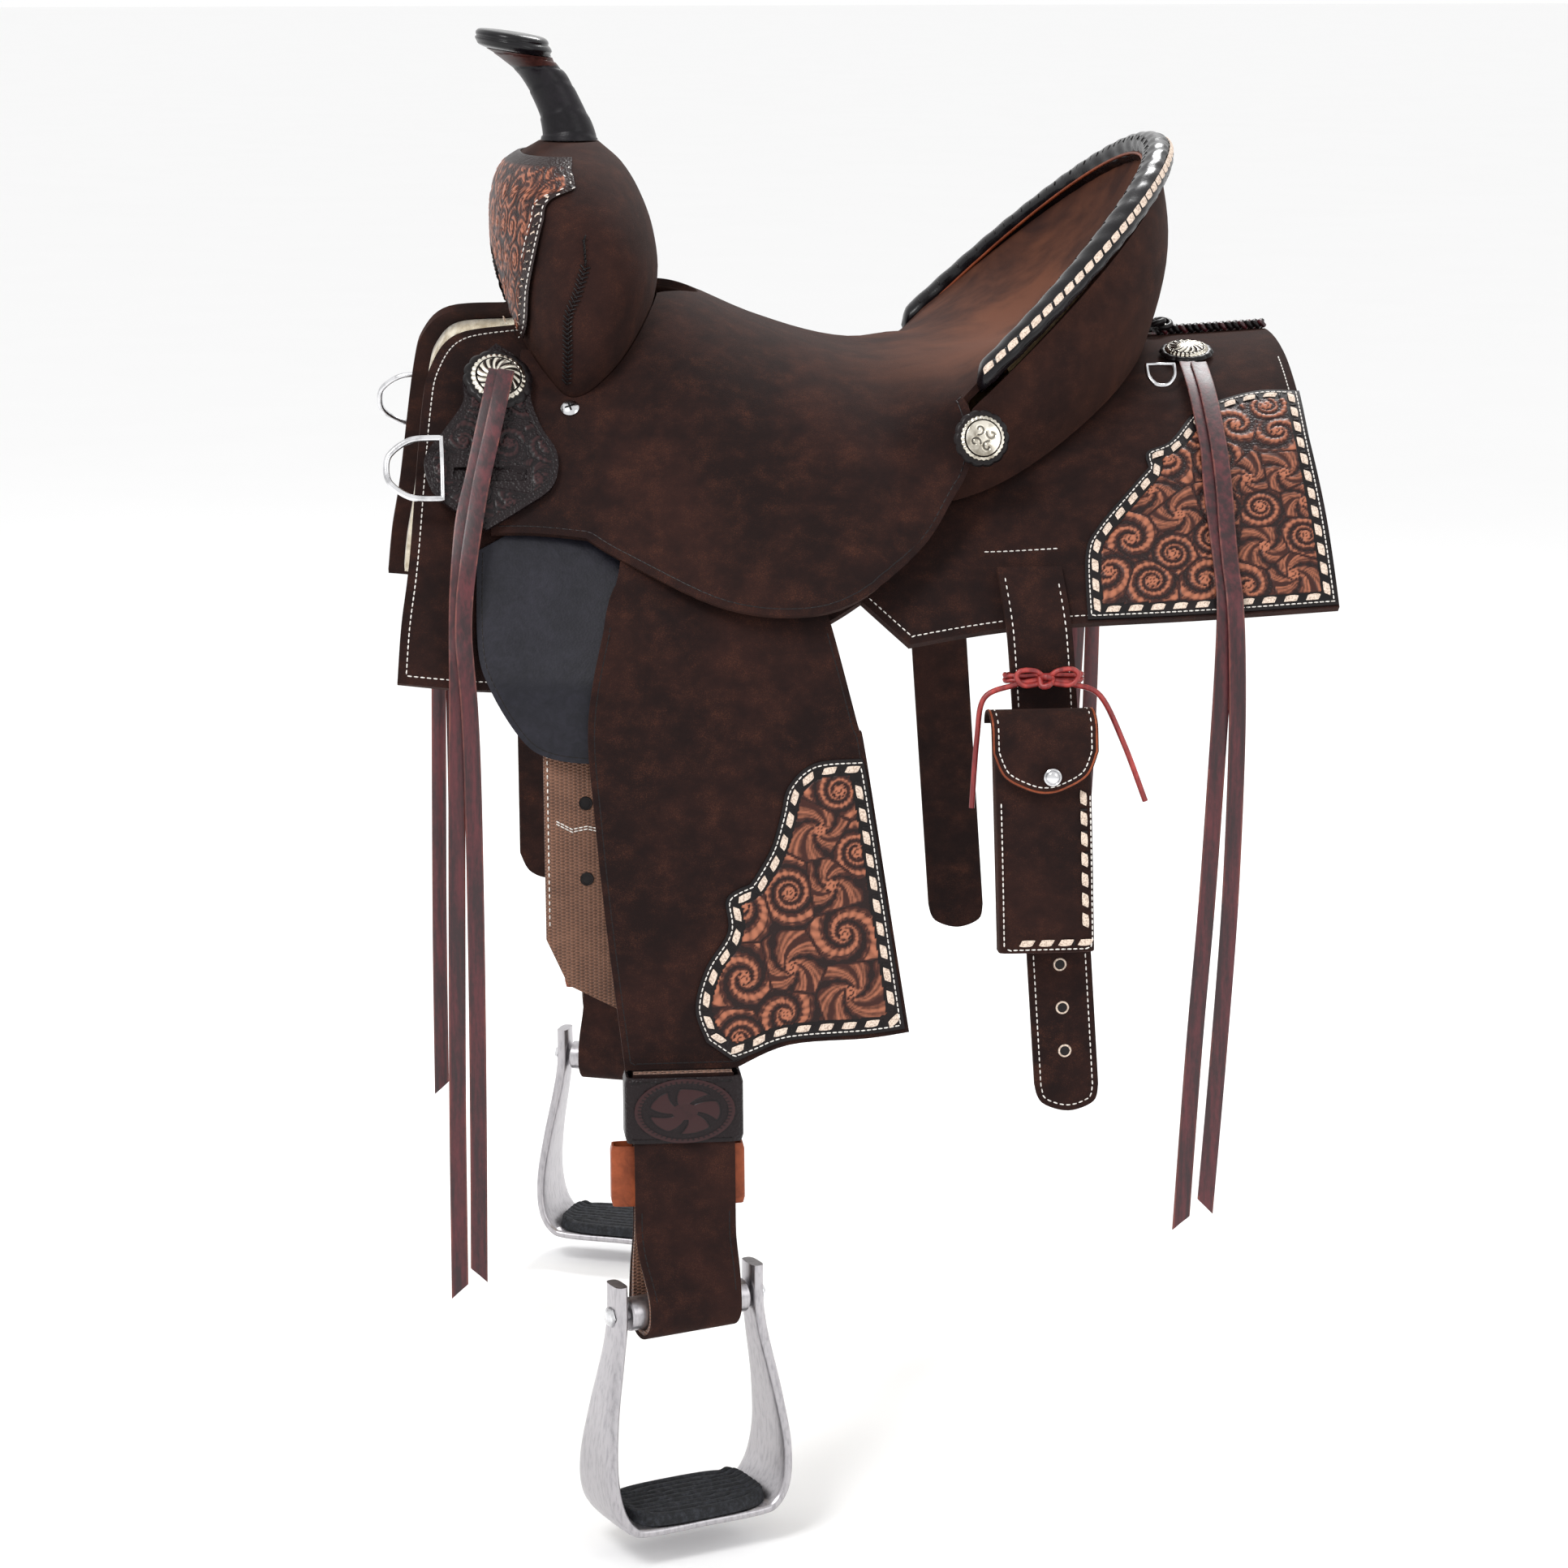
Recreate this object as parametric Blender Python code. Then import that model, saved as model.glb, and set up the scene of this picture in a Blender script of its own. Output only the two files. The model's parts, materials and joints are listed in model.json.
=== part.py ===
"""Western saddle in metres: the horn points to -X, the near (left) side is -Y, +Z is up.

The origin is the point on the centre plane, under the seat, where a rack's ridge carries the tree.
Leather pieces are flat outlines laid over two surfaces: the one that the skirts follow and the seat's.
"""
import math

import bmesh
import bpy
from mathutils import Matrix, Vector

GAP = 0.0008  # clearance between pieces that touch, over their curved facets
SKIRT = 0.006  # leather thicknesses
JOCKEY = 0.005
FENDER = 0.0045
STRAP = 0.0045
COVER = 0.004

# The skirts' outer face: x, height on the centre plane, height and half-width of the lower edge.
SKIRT_STATIONS = [
    (-0.280, 0.115, -0.147, 0.238),
    (-0.155, 0.082, -0.150, 0.243),
    (0.000, 0.035, -0.118, 0.247),
    (0.090, 0.028, -0.120, 0.249),
    (0.200, 0.045, -0.110, 0.252),
    (0.340, 0.054, -0.105, 0.254),
]
SKIRT_ROUND = 2.2  # power of the half-width in the skirts' cross-section

# The seat's outer face: x, height at the centre, power, height and half-width of the jockey's edge.
SEAT_STATIONS = [
    (-0.215, 0.104, 2.2, -0.053, 0.2025),
    (-0.155, 0.094, 2.2, -0.057, 0.2085),
    (-0.080, 0.0905, 2.7, -0.094, 0.2560),
    (-0.020, 0.066, 3.0, -0.102, 0.2660),
    (0.030, 0.0495, 3.4, -0.085, 0.2600),
    (0.066, 0.0445, 4.0, -0.064, 0.2350),
    (0.100, 0.0465, 6.0, -0.016, 0.2080),
]

# The cantle roll is half an ellipse in plan, rising towards the back.
ROLL_X, ROLL_Z = 0.100, 0.032
ROLL_DEEP, ROLL_WIDE, ROLL_RISE = 0.160, 0.190, 0.150
ROLL_RADIUS = 0.0105
DISH_POWER = 2.6  # how the dish rises from the seat's centre to the roll

# The swell: height, front and back x, half-width of each level section.
SWELL_STATIONS = [
    (0.004, -0.164, -0.137, 0.118),
    (0.022, -0.169, -0.131, 0.1375),
    (0.034, -0.177, -0.119, 0.1480),
    (0.050, -0.187, -0.106, 0.1570),
    (0.070, -0.195, -0.097, 0.161),
    (0.100, -0.199, -0.0905, 0.158),
    (0.130, -0.201, -0.0935, 0.147),
    (0.155, -0.1995, -0.102, 0.124),
    (0.175, -0.191, -0.114, 0.088),
    (0.1885, -0.171, -0.129, 0.036),
]
SWELL_POWER = 2.35
GULLET_HALF, GULLET_TOP = 0.085, 0.118

# Stirrup leathers and stirrup.
SWING_X, SWING_Z = -0.073, -0.030  # fore-and-aft axis on the bar
LIFT_Y, LIFT_Z = -0.2505, -0.107  # fold line at the jockey's edge
STRAP_HALF = 0.022
FENDER_LINE = [(-0.108, 0.2505), (-0.15, 0.2560), (-0.20, 0.2605), (-0.30, 0.2700), (-0.40, 0.2850)]
LEG_X = -0.097  # middle of the stirrup leather at the hobble
LEG_TURN = math.radians(22)  # how far the stirrup is turned from the horse's side
BOLT = Vector((-0.097, -0.300, -0.556))
LEG_WIDE = 0.066
ROLLER_RADIUS = 0.0112
STIRRUP_THICK = 0.009
STIRRUP_HALF = [  # half of the bow's middle line: distance from its centre, height, depth
    (0.0500, -0.534, 0.020),
    (0.0500, -0.558, 0.021),
    (0.0530, -0.582, 0.024),
    (0.0600, -0.620, 0.036),
    (0.0640, -0.655, 0.050),
    (0.0615, -0.680, 0.059),
    (0.0530, -0.6945, 0.062),
    (0.0400, -0.6985, 0.062),
    (0.0000, -0.6985, 0.062),
]
BILLET_LEAN = 0.070  # x gained for each metre down
BILLET_LINE = [(-0.078, 0.226), (-0.09, 0.237), (-0.105, 0.2495), (-0.12, 0.2565), (-0.16, 0.2590), (-0.45, 0.2590)]

MATERIALS = {
    "rough_out": ((0.036, 0.016, 0.011), 0.95, 0.0),
    "cantle_suede": ((0.080, 0.030, 0.016), 0.95, 0.0),
    "smooth_black": ((0.010, 0.009, 0.013), 0.35, 0.0),
    "tooled": ((0.120, 0.050, 0.030), 0.50, 0.0),
    "dark_tooled": ((0.030, 0.015, 0.014), 0.45, 0.0),
    "horn_wrap": ((0.014, 0.012, 0.018), 0.35, 0.0),
    "flap": ((0.018, 0.018, 0.026), 0.40, 0.0),
    "string": ((0.110, 0.014, 0.020), 0.45, 0.0),
    "thong": ((0.250, 0.020, 0.020), 0.50, 0.0),
    "webbing": ((0.200, 0.085, 0.050), 0.85, 0.0),
    "sleeve": ((0.380, 0.090, 0.030), 0.45, 0.0),
    "silver": ((0.700, 0.680, 0.620), 0.25, 1.0),
    "aluminium": ((0.420, 0.410, 0.420), 0.35, 1.0),
    "rubber": ((0.022, 0.023, 0.027), 0.80, 0.0),
    "fleece": ((0.550, 0.480, 0.380), 1.00, 0.0),
    "wood": ((0.420, 0.270, 0.140), 0.60, 0.0),
}


# ---------------------------------------------------------------- scene helpers
def clear_scene():
    for obj in list(bpy.data.objects):
        bpy.data.objects.remove(obj)
    parts = bpy.data.collections.new("western_saddle")
    cutters = bpy.data.collections.new("cutters")
    bpy.context.scene.collection.children.link(parts)
    bpy.context.scene.collection.children.link(cutters)
    return parts, cutters


PARTS, CUTTERS = clear_scene()


def material(name):
    found = bpy.data.materials.get(name)
    if found:
        return found
    colour, rough, metal = MATERIALS[name]
    made = bpy.data.materials.new(name)
    made.use_nodes = True
    shader = made.node_tree.nodes["Principled BSDF"]
    shader.inputs["Base Color"].default_value = (*colour, 1.0)
    shader.inputs["Roughness"].default_value = rough
    shader.inputs["Metallic"].default_value = metal
    return made


def add(name, mesh, finish=None):
    """A named object; without a finish it is a cutter."""
    obj = bpy.data.objects.new(name, mesh)
    if finish:
        mesh.materials.clear()
        mesh.materials.append(material(finish))
        mesh.shade_smooth()
        mesh.set_sharp_from_angle(angle=math.radians(40))
        PARTS.objects.link(obj)
    else:
        obj.hide_render = True
        obj.display_type = "WIRE"
        CUTTERS.objects.link(obj)
    return obj


def finish_mesh(bm, name, finish=None, merge=1e-5):
    bmesh.ops.remove_doubles(bm, verts=bm.verts, dist=merge)
    bmesh.ops.recalc_face_normals(bm, faces=bm.faces)
    mesh = bpy.data.meshes.new(name)
    bm.to_mesh(mesh)
    bm.free()
    return add(name, mesh, finish)


def bake(obj):
    """Replace the object's mesh by its evaluated one, so that copies and Booleans can share it."""
    bpy.context.view_layer.update()
    graph = bpy.context.evaluated_depsgraph_get()
    mesh = bpy.data.meshes.new_from_object(obj.evaluated_get(graph))
    obj.modifiers.clear()
    obj.data = mesh
    return obj


def boolean(obj, operation, *others):
    for other in others:
        cut = obj.modifiers.new(operation.lower(), "BOOLEAN")
        cut.operation = operation
        cut.object = other
    bake(obj)
    bm = bmesh.new()
    bm.from_mesh(obj.data)
    bmesh.ops.remove_doubles(bm, verts=bm.verts, dist=2e-5)
    bmesh.ops.dissolve_degenerate(bm, edges=bm.edges, dist=2e-5)
    bm.to_mesh(obj.data)
    bm.free()
    return obj


def other_side(obj, name=None):
    """The mirrored copy on the off side, sharing its mesh."""
    twin = bpy.data.objects.new(name or obj.name.replace("left", "right"), obj.data)
    twin.scale.y = -1
    PARTS.objects.link(twin)
    return twin


# ---------------------------------------------------------------- curves in the plane
def smooth_run(points, steps=6):
    """Points along a smooth curve through the given ones (Catmull-Rom), without the last point."""
    if len(points) == 2:
        return [points[0]]
    ends = [points[0], *points, points[-1]]
    out = []
    for a, b, c, d in zip(ends, ends[1:], ends[2:], ends[3:]):
        for k in range(steps):
            t = k / steps
            weight = (
                -0.5 * t + t * t - 0.5 * t**3,
                1 - 2.5 * t * t + 1.5 * t**3,
                0.5 * t + 2 * t * t - 1.5 * t**3,
                -0.5 * t * t + 0.5 * t**3,
            )
            out.append(tuple(sum(w * p[i] for w, p in zip(weight, (a, b, c, d))) for i in range(len(a))))
    return out


def outline(*runs, steps=6):
    """A closed outline: smooth runs that meet at corners."""
    return [point for run in runs for point in smooth_run(list(run), steps)]


def curve_through(rows, x):
    """The values at x of a smooth curve through rows of (x, value, ...), straight beyond its ends."""
    spot = max(0, min(len(rows) - 2, sum(row[0] <= x for row in rows) - 1))
    low, high = rows[spot], rows[spot + 1]
    before, after = rows[max(spot - 1, 0)], rows[min(spot + 2, len(rows) - 1)]
    width = high[0] - low[0]
    t = (x - low[0]) / width
    values = []
    for i in range(1, len(low)):
        slope_low = (high[i] - before[i]) / (high[0] - before[0]) * width
        slope_high = (after[i] - low[i]) / (after[0] - low[0]) * width
        if t < 0:
            values.append(low[i] + slope_low * t)
        elif t > 1:
            values.append(high[i] + slope_high * (t - 1))
        else:
            values.append(
                low[i] * (1 + 2 * t) * (1 - t) ** 2
                + slope_low * t * (1 - t) ** 2
                + high[i] * t * t * (3 - 2 * t)
                + slope_high * t * t * (t - 1)
            )
    return values


def smooth_step(low, high, x):
    t = min(1.0, max(0.0, (x - low) / (high - low)))
    return t * t * (3 - 2 * t)


# ---------------------------------------------------------------- the two leather surfaces
def skirt_height(x, y):
    ridge, edge_z, edge_y = curve_through(SKIRT_STATIONS, x)
    return ridge - (ridge - edge_z) * (abs(y) / edge_y) ** SKIRT_ROUND


def dish_reach(x, y):
    """0 at the seat's centre and 1 on the cantle roll's centre line, with the roll's height there."""
    back = max(0.0, (x - ROLL_X) / ROLL_DEEP)
    reach = math.hypot(back, y / ROLL_WIDE)
    rise = back / reach if reach > 1e-9 else 0.0
    return reach, ROLL_Z + ROLL_RISE * rise


def seat_height(x, y):
    middle, power, edge_z, edge_y = curve_through(SEAT_STATIONS, min(x, SEAT_STATIONS[-1][0]))
    side = middle - (middle - edge_z) * (abs(y) / edge_y) ** power
    reach, roll_z = dish_reach(x, y)
    centre = SEAT_STATIONS[-1][1]
    dish = centre + (roll_z - centre) * reach**DISH_POWER
    part = smooth_step(0.045, 0.125, x) * (1 - smooth_step(0.93, 1.06, reach))
    return side * (1 - part) + dish * part


def over(height, lift):
    """A map of (x, y) to the point `lift` off a height surface."""

    def place(x, y):
        step = 1e-4
        z = height(x, y)
        slope_x = (height(x + step, y) - z) / step
        slope_y = (height(x, y + step) - z) / step
        return Vector((x, y, z)) + Vector((-slope_x, -slope_y, 1)).normalized() * lift

    return place


def beside(line, lift, lean=0.0):
    """A map of (x, z) to a hanging sheet on the near side whose middle follows a line of (z, y)."""

    def place(x, z):
        step = 1e-4
        flip = [(-row[0], row[1]) for row in line]
        y = -curve_through(flip, -z)[0]
        slope = (-curve_through(flip, -z + step)[0] - y) / -step
        out = Vector((0, -1, slope)).normalized()
        return Vector((x - lean * (z - line[0][0]), y, z)) + out * lift

    return place


def seen_from_side(place, points):
    """The (x, y) on a near-side surface of points given by their x and z in the side view."""
    found = []
    for x, z in points:
        at_x = x
        for _ in range(3):
            high, low = -0.005, -0.32
            for _ in range(30):
                middle = (high + low) / 2
                if place(at_x, middle).z > z:
                    high = middle
                else:
                    low = middle
            at_x += x - place(at_x, high).x
        found.append((at_x, high))
    return found


def normal_at(height, x, y):
    return (over(height, 1.0)(x, y) - over(height, 0.0)(x, y)).normalized()


# ---------------------------------------------------------------- solids
def sheet(name, loop, outer, inner, cell, finish=None):
    """A closed sheet: the outline, cut into cells, laid on the outer map and backed on the inner one."""
    bm = bmesh.new()
    bm.faces.new([bm.verts.new((u, v, 0)) for u, v in loop])
    for axis in range(2):
        values = [point[axis] for point in loop]
        normal = Vector((1, 0, 0)) if axis == 0 else Vector((0, 1, 0))
        for k in range(math.ceil(min(values) / cell[axis]), math.floor(max(values) / cell[axis]) + 1):
            geometry = bm.verts[:] + bm.edges[:] + bm.faces[:]
            bmesh.ops.bisect_plane(bm, geom=geometry, dist=4e-4, plane_co=normal * k * cell[axis], plane_no=normal)
    bmesh.ops.triangulate(bm, faces=bm.faces)
    flat = {v: (v.co.x, v.co.y) for v in bm.verts}
    extruded = bmesh.ops.extrude_face_region(bm, geom=bm.faces[:], use_keep_orig=True)
    for vert in [g for g in extruded["geom"] if isinstance(g, bmesh.types.BMVert)]:
        vert.co = inner(vert.co.x, vert.co.y)
    for vert, (u, v) in flat.items():
        vert.co = outer(u, v)
    return finish_mesh(bm, name, finish)


def draped(name, loop, height, top, thick, cell=(0.03, 0.025), finish=None):
    return sheet(name, loop, over(height, top), over(height, top - thick), cell, finish)


def hanging(name, loop, line, thick, cell=(0.04, 0.04), finish=None, lean=0.0, lift=0.0):
    half = thick / 2
    return sheet(name, loop, beside(line, lift + half, lean), beside(line, lift - half, lean), cell, finish)


def lofted(name, rings, finish=None):
    """A closed solid through rings of equal counts of points, with flat ends."""
    bm = bmesh.new()
    rows = [[bm.verts.new(point) for point in ring] for ring in rings]
    count = len(rings[0])
    for low, high in zip(rows, rows[1:]):
        for k in range(count):
            bm.faces.new((low[k], low[(k + 1) % count], high[(k + 1) % count], high[k]))
    bm.faces.new(rows[0])
    bm.faces.new(rows[-1])
    bmesh.ops.triangulate(bm, faces=bm.faces)
    return finish_mesh(bm, name, finish)


def prism(name, loop, axis, low, high, finish=None):
    """An outline extruded along a world axis: 0 for (y, z) outlines, 1 for (x, z) and 2 for (x, y)."""

    def at(point, depth):
        values = list(point)
        values.insert(axis, depth)
        return Vector(values)

    bm = bmesh.new()
    bm.faces.new([bm.verts.new(at(point, low)) for point in loop])
    top = bmesh.ops.extrude_face_region(bm, geom=bm.faces[:], use_keep_orig=True)
    for vert in [g for g in top["geom"] if isinstance(g, bmesh.types.BMVert)]:
        vert.co[axis] = high
    return finish_mesh(bm, name, finish)


def wire(name, points, radius, finish, cyclic=False, sides=2):
    """A round bar along points, made a mesh with welded caps."""
    data = bpy.data.curves.new(name, "CURVE")
    data.dimensions = "3D"
    spline = data.splines.new("POLY")
    spline.points.add(len(points) - 1)
    for spot, point in zip(spline.points, points):
        spot.co = (*point, 1)
    spline.use_cyclic_u = cyclic
    data.bevel_depth = radius
    data.bevel_resolution = sides
    data.use_fill_caps = True
    curve = bpy.data.objects.new(name + "_path", data)
    CUTTERS.objects.link(curve)
    bpy.context.view_layer.update()
    graph = bpy.context.evaluated_depsgraph_get()
    mesh = bpy.data.meshes.new_from_object(curve.evaluated_get(graph))
    bpy.data.objects.remove(curve)
    bm = bmesh.new()
    bm.from_mesh(mesh)
    return finish_mesh(bm, name, finish)


def frame_at(point, outward, up=Vector((0, 0, 1))):
    """A matrix at a point whose Z axis points outward and whose Y axis leans up."""
    z = outward.normalized()
    x = up.cross(z).normalized()
    y = z.cross(x)
    return Matrix.Translation(point) @ Matrix((x, y, z)).transposed().to_4x4()


def turned(name, profile, place, finish, segments=24):
    """A turned solid about its own Z axis from (radius, height) points, ends on the axis."""
    bm = bmesh.new()
    verts = [bm.verts.new((radius, 0, height)) for radius, height in profile]
    edges = [bm.edges.new(pair) for pair in zip(verts, verts[1:])]
    geometry = verts + edges
    bmesh.ops.spin(bm, geom=geometry, cent=(0, 0, 0), axis=(0, 0, 1), angle=2 * math.pi, steps=segments)
    bmesh.ops.transform(bm, matrix=place, verts=bm.verts)
    return finish_mesh(bm, name, finish, merge=2e-5)


# ---------------------------------------------------------------- swell, horn and tree
def swell_rings(grow):
    """Level sections of the swell, each a superellipse, grown outward by a margin."""
    rings = []
    for spot, (z, front, back, half) in enumerate(SWELL_STATIONS):
        if spot == len(SWELL_STATIONS) - 1:
            z += grow
        centre, deep = (front + back) / 2, (back - front) / 2 + grow
        ring = []
        for k in range(36):
            angle = 2 * math.pi * k / 36
            c, s = math.cos(angle), math.sin(angle)
            size = (abs(c) ** SWELL_POWER + abs(s) ** SWELL_POWER) ** (-1 / SWELL_POWER)
            lean = 0.012 * abs(s) ** 2 * smooth_step(0.16, 0.06, z) if z < 0.16 else 0.0
            ring.append(Vector((centre + deep * size * c - lean * 0.5, (half + grow) * size * s, z)))
        rings.append(ring)
    return rings


def swell_solid(name, grow, finish=None):
    return lofted(name, swell_rings(grow), finish)


def gullet_arch(name):
    half, top = GULLET_HALF, GULLET_TOP
    arch = [(-half, -0.1), (half, -0.1)] + smooth_run(
        [(half, 0.02), (half * 0.93, 0.065), (half * 0.62, top - 0.015), (0, top), (-half * 0.62, top - 0.015),
         (-half * 0.93, 0.065), (-half, 0.02)], 3) + [(-half, 0.02)]
    return prism(name, arch, 0, -0.25, -0.05)


def ground(name, lift):
    """Everything below the surface at `lift` over the skirts, under the swell."""
    loop = [(-0.23, -0.19), (-0.06, -0.19), (-0.06, 0.19), (-0.23, 0.19)]
    top = over(skirt_height, lift)
    return sheet(name, loop, top, lambda x, y: Vector((x, y, -0.25)), (0.02, 0.02))


def build_swell():
    arch = gullet_arch("gullet_cutter")
    cover = swell_solid("swell_cover", 0.0, "rough_out")
    core = swell_solid("swell_core_cutter", -COVER)
    low = ground("swell_foot_cutter", 0.0035)
    boolean(cover, "DIFFERENCE", core, arch, low)

    fork = swell_solid("tree_fork", -COVER - GAP, "wood")
    boolean(fork, "DIFFERENCE", arch, low)

    plate = swell_solid("gullet_plate", 0.0036, "tooled")
    inside = swell_solid("plate_core_cutter", 0.0006)
    edge = outline(
        [(-0.30, 0.181), (-0.146, 0.181)],
        [(-0.146, 0.181), (-0.1532, 0.1735), (-0.1475, 0.1664)],
        [(-0.1475, 0.1664), (-0.1692, 0.1565), (-0.1785, 0.1290), (-0.1845, 0.1000), (-0.1865, 0.0740)],
        [(-0.1865, 0.0740), (-0.1900, 0.0600), (-0.30, 0.0600)],
        [(-0.30, 0.0600), (-0.30, 0.181)],
        steps=4,
    )
    region = prism("plate_region_cutter", edge, 1, -0.2, 0.2)
    lower = ground("plate_foot_cutter", 0.014)
    boolean(plate, "DIFFERENCE", inside, arch, lower)
    boolean(plate, "INTERSECT", region)


def horn_rings(stations, tilt):
    """Ellipses along the horn: centre x and z, half-length, half-width, with their tilt in degrees."""
    rings = []
    for (x, z, long, wide), angle in zip(stations, tilt):
        turn = Matrix.Rotation(math.radians(angle), 3, "Y")
        ring = []
        for k in range(20):
            a = 2 * math.pi * k / 20
            ring.append(Vector((x, 0, z)) + turn @ Vector((long * math.cos(a), wide * math.sin(a), 0)))
        rings.append(ring)
    return rings


def build_horn():
    neck = [
        (-0.1495, 0.1897, 0.0195, 0.0200),
        (-0.1510, 0.1980, 0.0172, 0.0176),
        (-0.1560, 0.2120, 0.0148, 0.0152),
        (-0.1630, 0.2270, 0.0140, 0.0146),
        (-0.1700, 0.2370, 0.0142, 0.0156),
        (-0.1775, 0.2440, 0.0182, 0.0200),
        (-0.1835, 0.2490, 0.0225, 0.0245),
    ]
    lofted("horn_neck", horn_rings(neck, [0, -10, -22, -22, -8, 4, 8.5]), "horn_wrap")
    cap = [
        (-0.1842, 0.2497, 0.0232, 0.0256),
        (-0.1868, 0.2535, 0.0256, 0.0290),
        (-0.1878, 0.2575, 0.0262, 0.0298),
        (-0.1882, 0.2605, 0.0252, 0.0288),
        (-0.1884, 0.2625, 0.0215, 0.0250),
        (-0.1886, 0.2634, 0.0120, 0.0140),
    ]
    lofted("horn_cap", horn_rings(cap, [8.5] * 6), "smooth_black")


def build_tree():
    bar = outline(
        [(-0.085, -0.055), (-0.085, -0.120)],
        [(-0.085, -0.120), (-0.05, -0.134), (0.05, -0.138), (0.14, -0.132), (0.198, -0.110)],
        [(0.198, -0.110), (0.207, -0.080), (0.198, -0.055)],
        [(0.198, -0.055), (-0.085, -0.055)],
    )
    other_side(draped("tree_bar_left", bar, skirt_height, 0.0115, 0.0095, (0.045, 0.04), "wood"))
    board = []
    for k in range(17):
        angle = math.radians(-80 + 10 * k)
        board.append((ROLL_X + ROLL_DEEP * 0.89 * math.cos(angle), ROLL_WIDE * 0.89 * math.sin(angle)))
    loop = [(0.135, -0.150)] + board + [(0.135, 0.150), (0.160, 0.09), (0.172, 0.0), (0.160, -0.09)]
    draped("tree_cantle", loop, seat_height, -0.0075, 0.009, (0.02, 0.025), "wood")


# ---------------------------------------------------------------- seat and cantle
def roll_centre(angle):
    """A point on the cantle roll's centre line, from 0 at its near end to pi at its far end."""
    return Vector((
        ROLL_X + ROLL_DEEP * math.sin(angle),
        -ROLL_WIDE * math.cos(angle),
        ROLL_Z + ROLL_RISE * math.sin(angle),
    ))


def build_seat():
    surface = over(seat_height, 0.0)
    near = seen_from_side(surface, smooth_run([
        (0.1085, 0.006), (0.1005, -0.016), (0.0905, -0.0315), (0.0653, -0.0645), (0.0166, -0.0945),
        (-0.0252, -0.1020), (-0.0732, -0.0945), (-0.1306, -0.0700), (-0.1525, -0.0575)], 4)
        + smooth_run([(-0.1525, -0.0575), (-0.185, -0.0545), (-0.2145, -0.0540)], 2)
        + smooth_run([(-0.2145, -0.0540), (-0.2105, -0.0240), (-0.1960, 0.0260), (-0.1885, 0.0600)], 4))
    hole = smooth_run([(-0.150, -0.110), (-0.110, -0.075), (-0.094, -0.058), (-0.080, -0.046), (-0.067, -0.028),
                       (-0.0615, -0.008), (-0.0615, 0.0)], 3)
    inner = []
    for k in range(13):
        angle = math.radians(7.5 * k)
        inner.append((ROLL_X + ROLL_DEEP * 0.925 * math.sin(angle), -ROLL_WIDE * 0.925 * math.cos(angle)))
    round_end = smooth_run([(0.1000, -0.1757), (0.0870, -0.1800), (0.0835, -0.1900), (0.0900, -0.2000)], 3)
    half = list(reversed(inner)) + round_end[1:] + near + hole
    mirrored = [(x, -y) for x, y in reversed(half) if abs(y) > 1e-6]
    seat = draped("seat", half + mirrored, seat_height, 0.0, JOCKEY, (0.024, 0.022), "rough_out")
    boolean(seat, "DIFFERENCE", swell_solid("seat_front_cutter", 0.0012))


def build_cantle():
    angles = [math.radians(3 + 174 * k / 44) for k in range(45)]
    wire("cantle_roll", [roll_centre(a) for a in angles], ROLL_RADIUS, "smooth_black", sides=2)

    def back(lift):
        def place(angle, t):
            top = roll_centre(angle)
            out = Vector((math.sin(angle), -math.cos(angle), 0)).normalized()
            head = top + out * 0.003 - Vector((0, 0, ROLL_RADIUS + 0.004))
            foot_x = 0.103 + 0.151 * math.sin(angle) - 0.022 * math.cos(angle) ** 4
            foot_y = -0.181 * math.cos(angle)
            foot = over(skirt_height, 0.0062)(foot_x, foot_y)
            across = Vector((out.x, out.y, 0.25)).normalized()
            point = head.lerp(foot, t) + across * (0.010 * math.sin(math.pi * t) * (0.4 + 0.6 * math.sin(angle)))
            return point + across * lift

        return place

    low, high = math.radians(12), math.radians(168)
    loop = [(low, 0.0), (high, 0.0), (high, 1.0), (low, 1.0)]
    sheet("cantle_back", loop, back(0.0), back(-COVER), (math.radians(7.5), 0.249), "rough_out")


# ---------------------------------------------------------------- skirts
def skirt_loop(inset):
    surface = over(skirt_height, 0.0)
    i = inset
    front = smooth_run([(-0.193 + i, 0.070 - i), (-0.232 + i, 0.066 - i), (-0.250 + i, 0.048), (-0.2576 + i, 0.018),
                        (-0.268 + i, -0.070), (-0.2745 + i, -0.111), (-0.278 + i, -0.1466 + i)], 3)
    bottom = smooth_run([(-0.278 + i, -0.1466 + i), (-0.217, -0.152 + i), (-0.13, -0.152 + i), (-0.05, -0.135 + i),
                         (0.0047, -0.110 + i), (0.0266, -0.0985 + i)], 3)
    notch = [(0.0266, -0.0985 + i)]
    rear = smooth_run([(0.0562, -0.1247 + i), (0.1185, -0.116 + i), (0.175, -0.1125 + i), (0.26, -0.1090 + i),
                       (0.342 - i, -0.1046 + i)], 3)
    end = smooth_run([(0.342 - i, -0.1046 + i), (0.342 - i, -0.052), (0.3405 - i, -0.007), (0.3405 - i, 0.0223),
                      (0.3420 - i, 0.045)], 3)
    top = smooth_run([(0.3430 - i, -0.012), (0.343 - i, -0.0035)], 3) + smooth_run(
        [(0.343 - i, -0.0035), (0.265, -0.0035)], 2) + smooth_run(
        [(0.265, -0.0035), (0.235, -0.030), (0.20, -0.046), (-0.10, -0.046), (-0.170, -0.055)], 3)
    return seen_from_side(surface, front + bottom + notch + rear + end) + top


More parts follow.
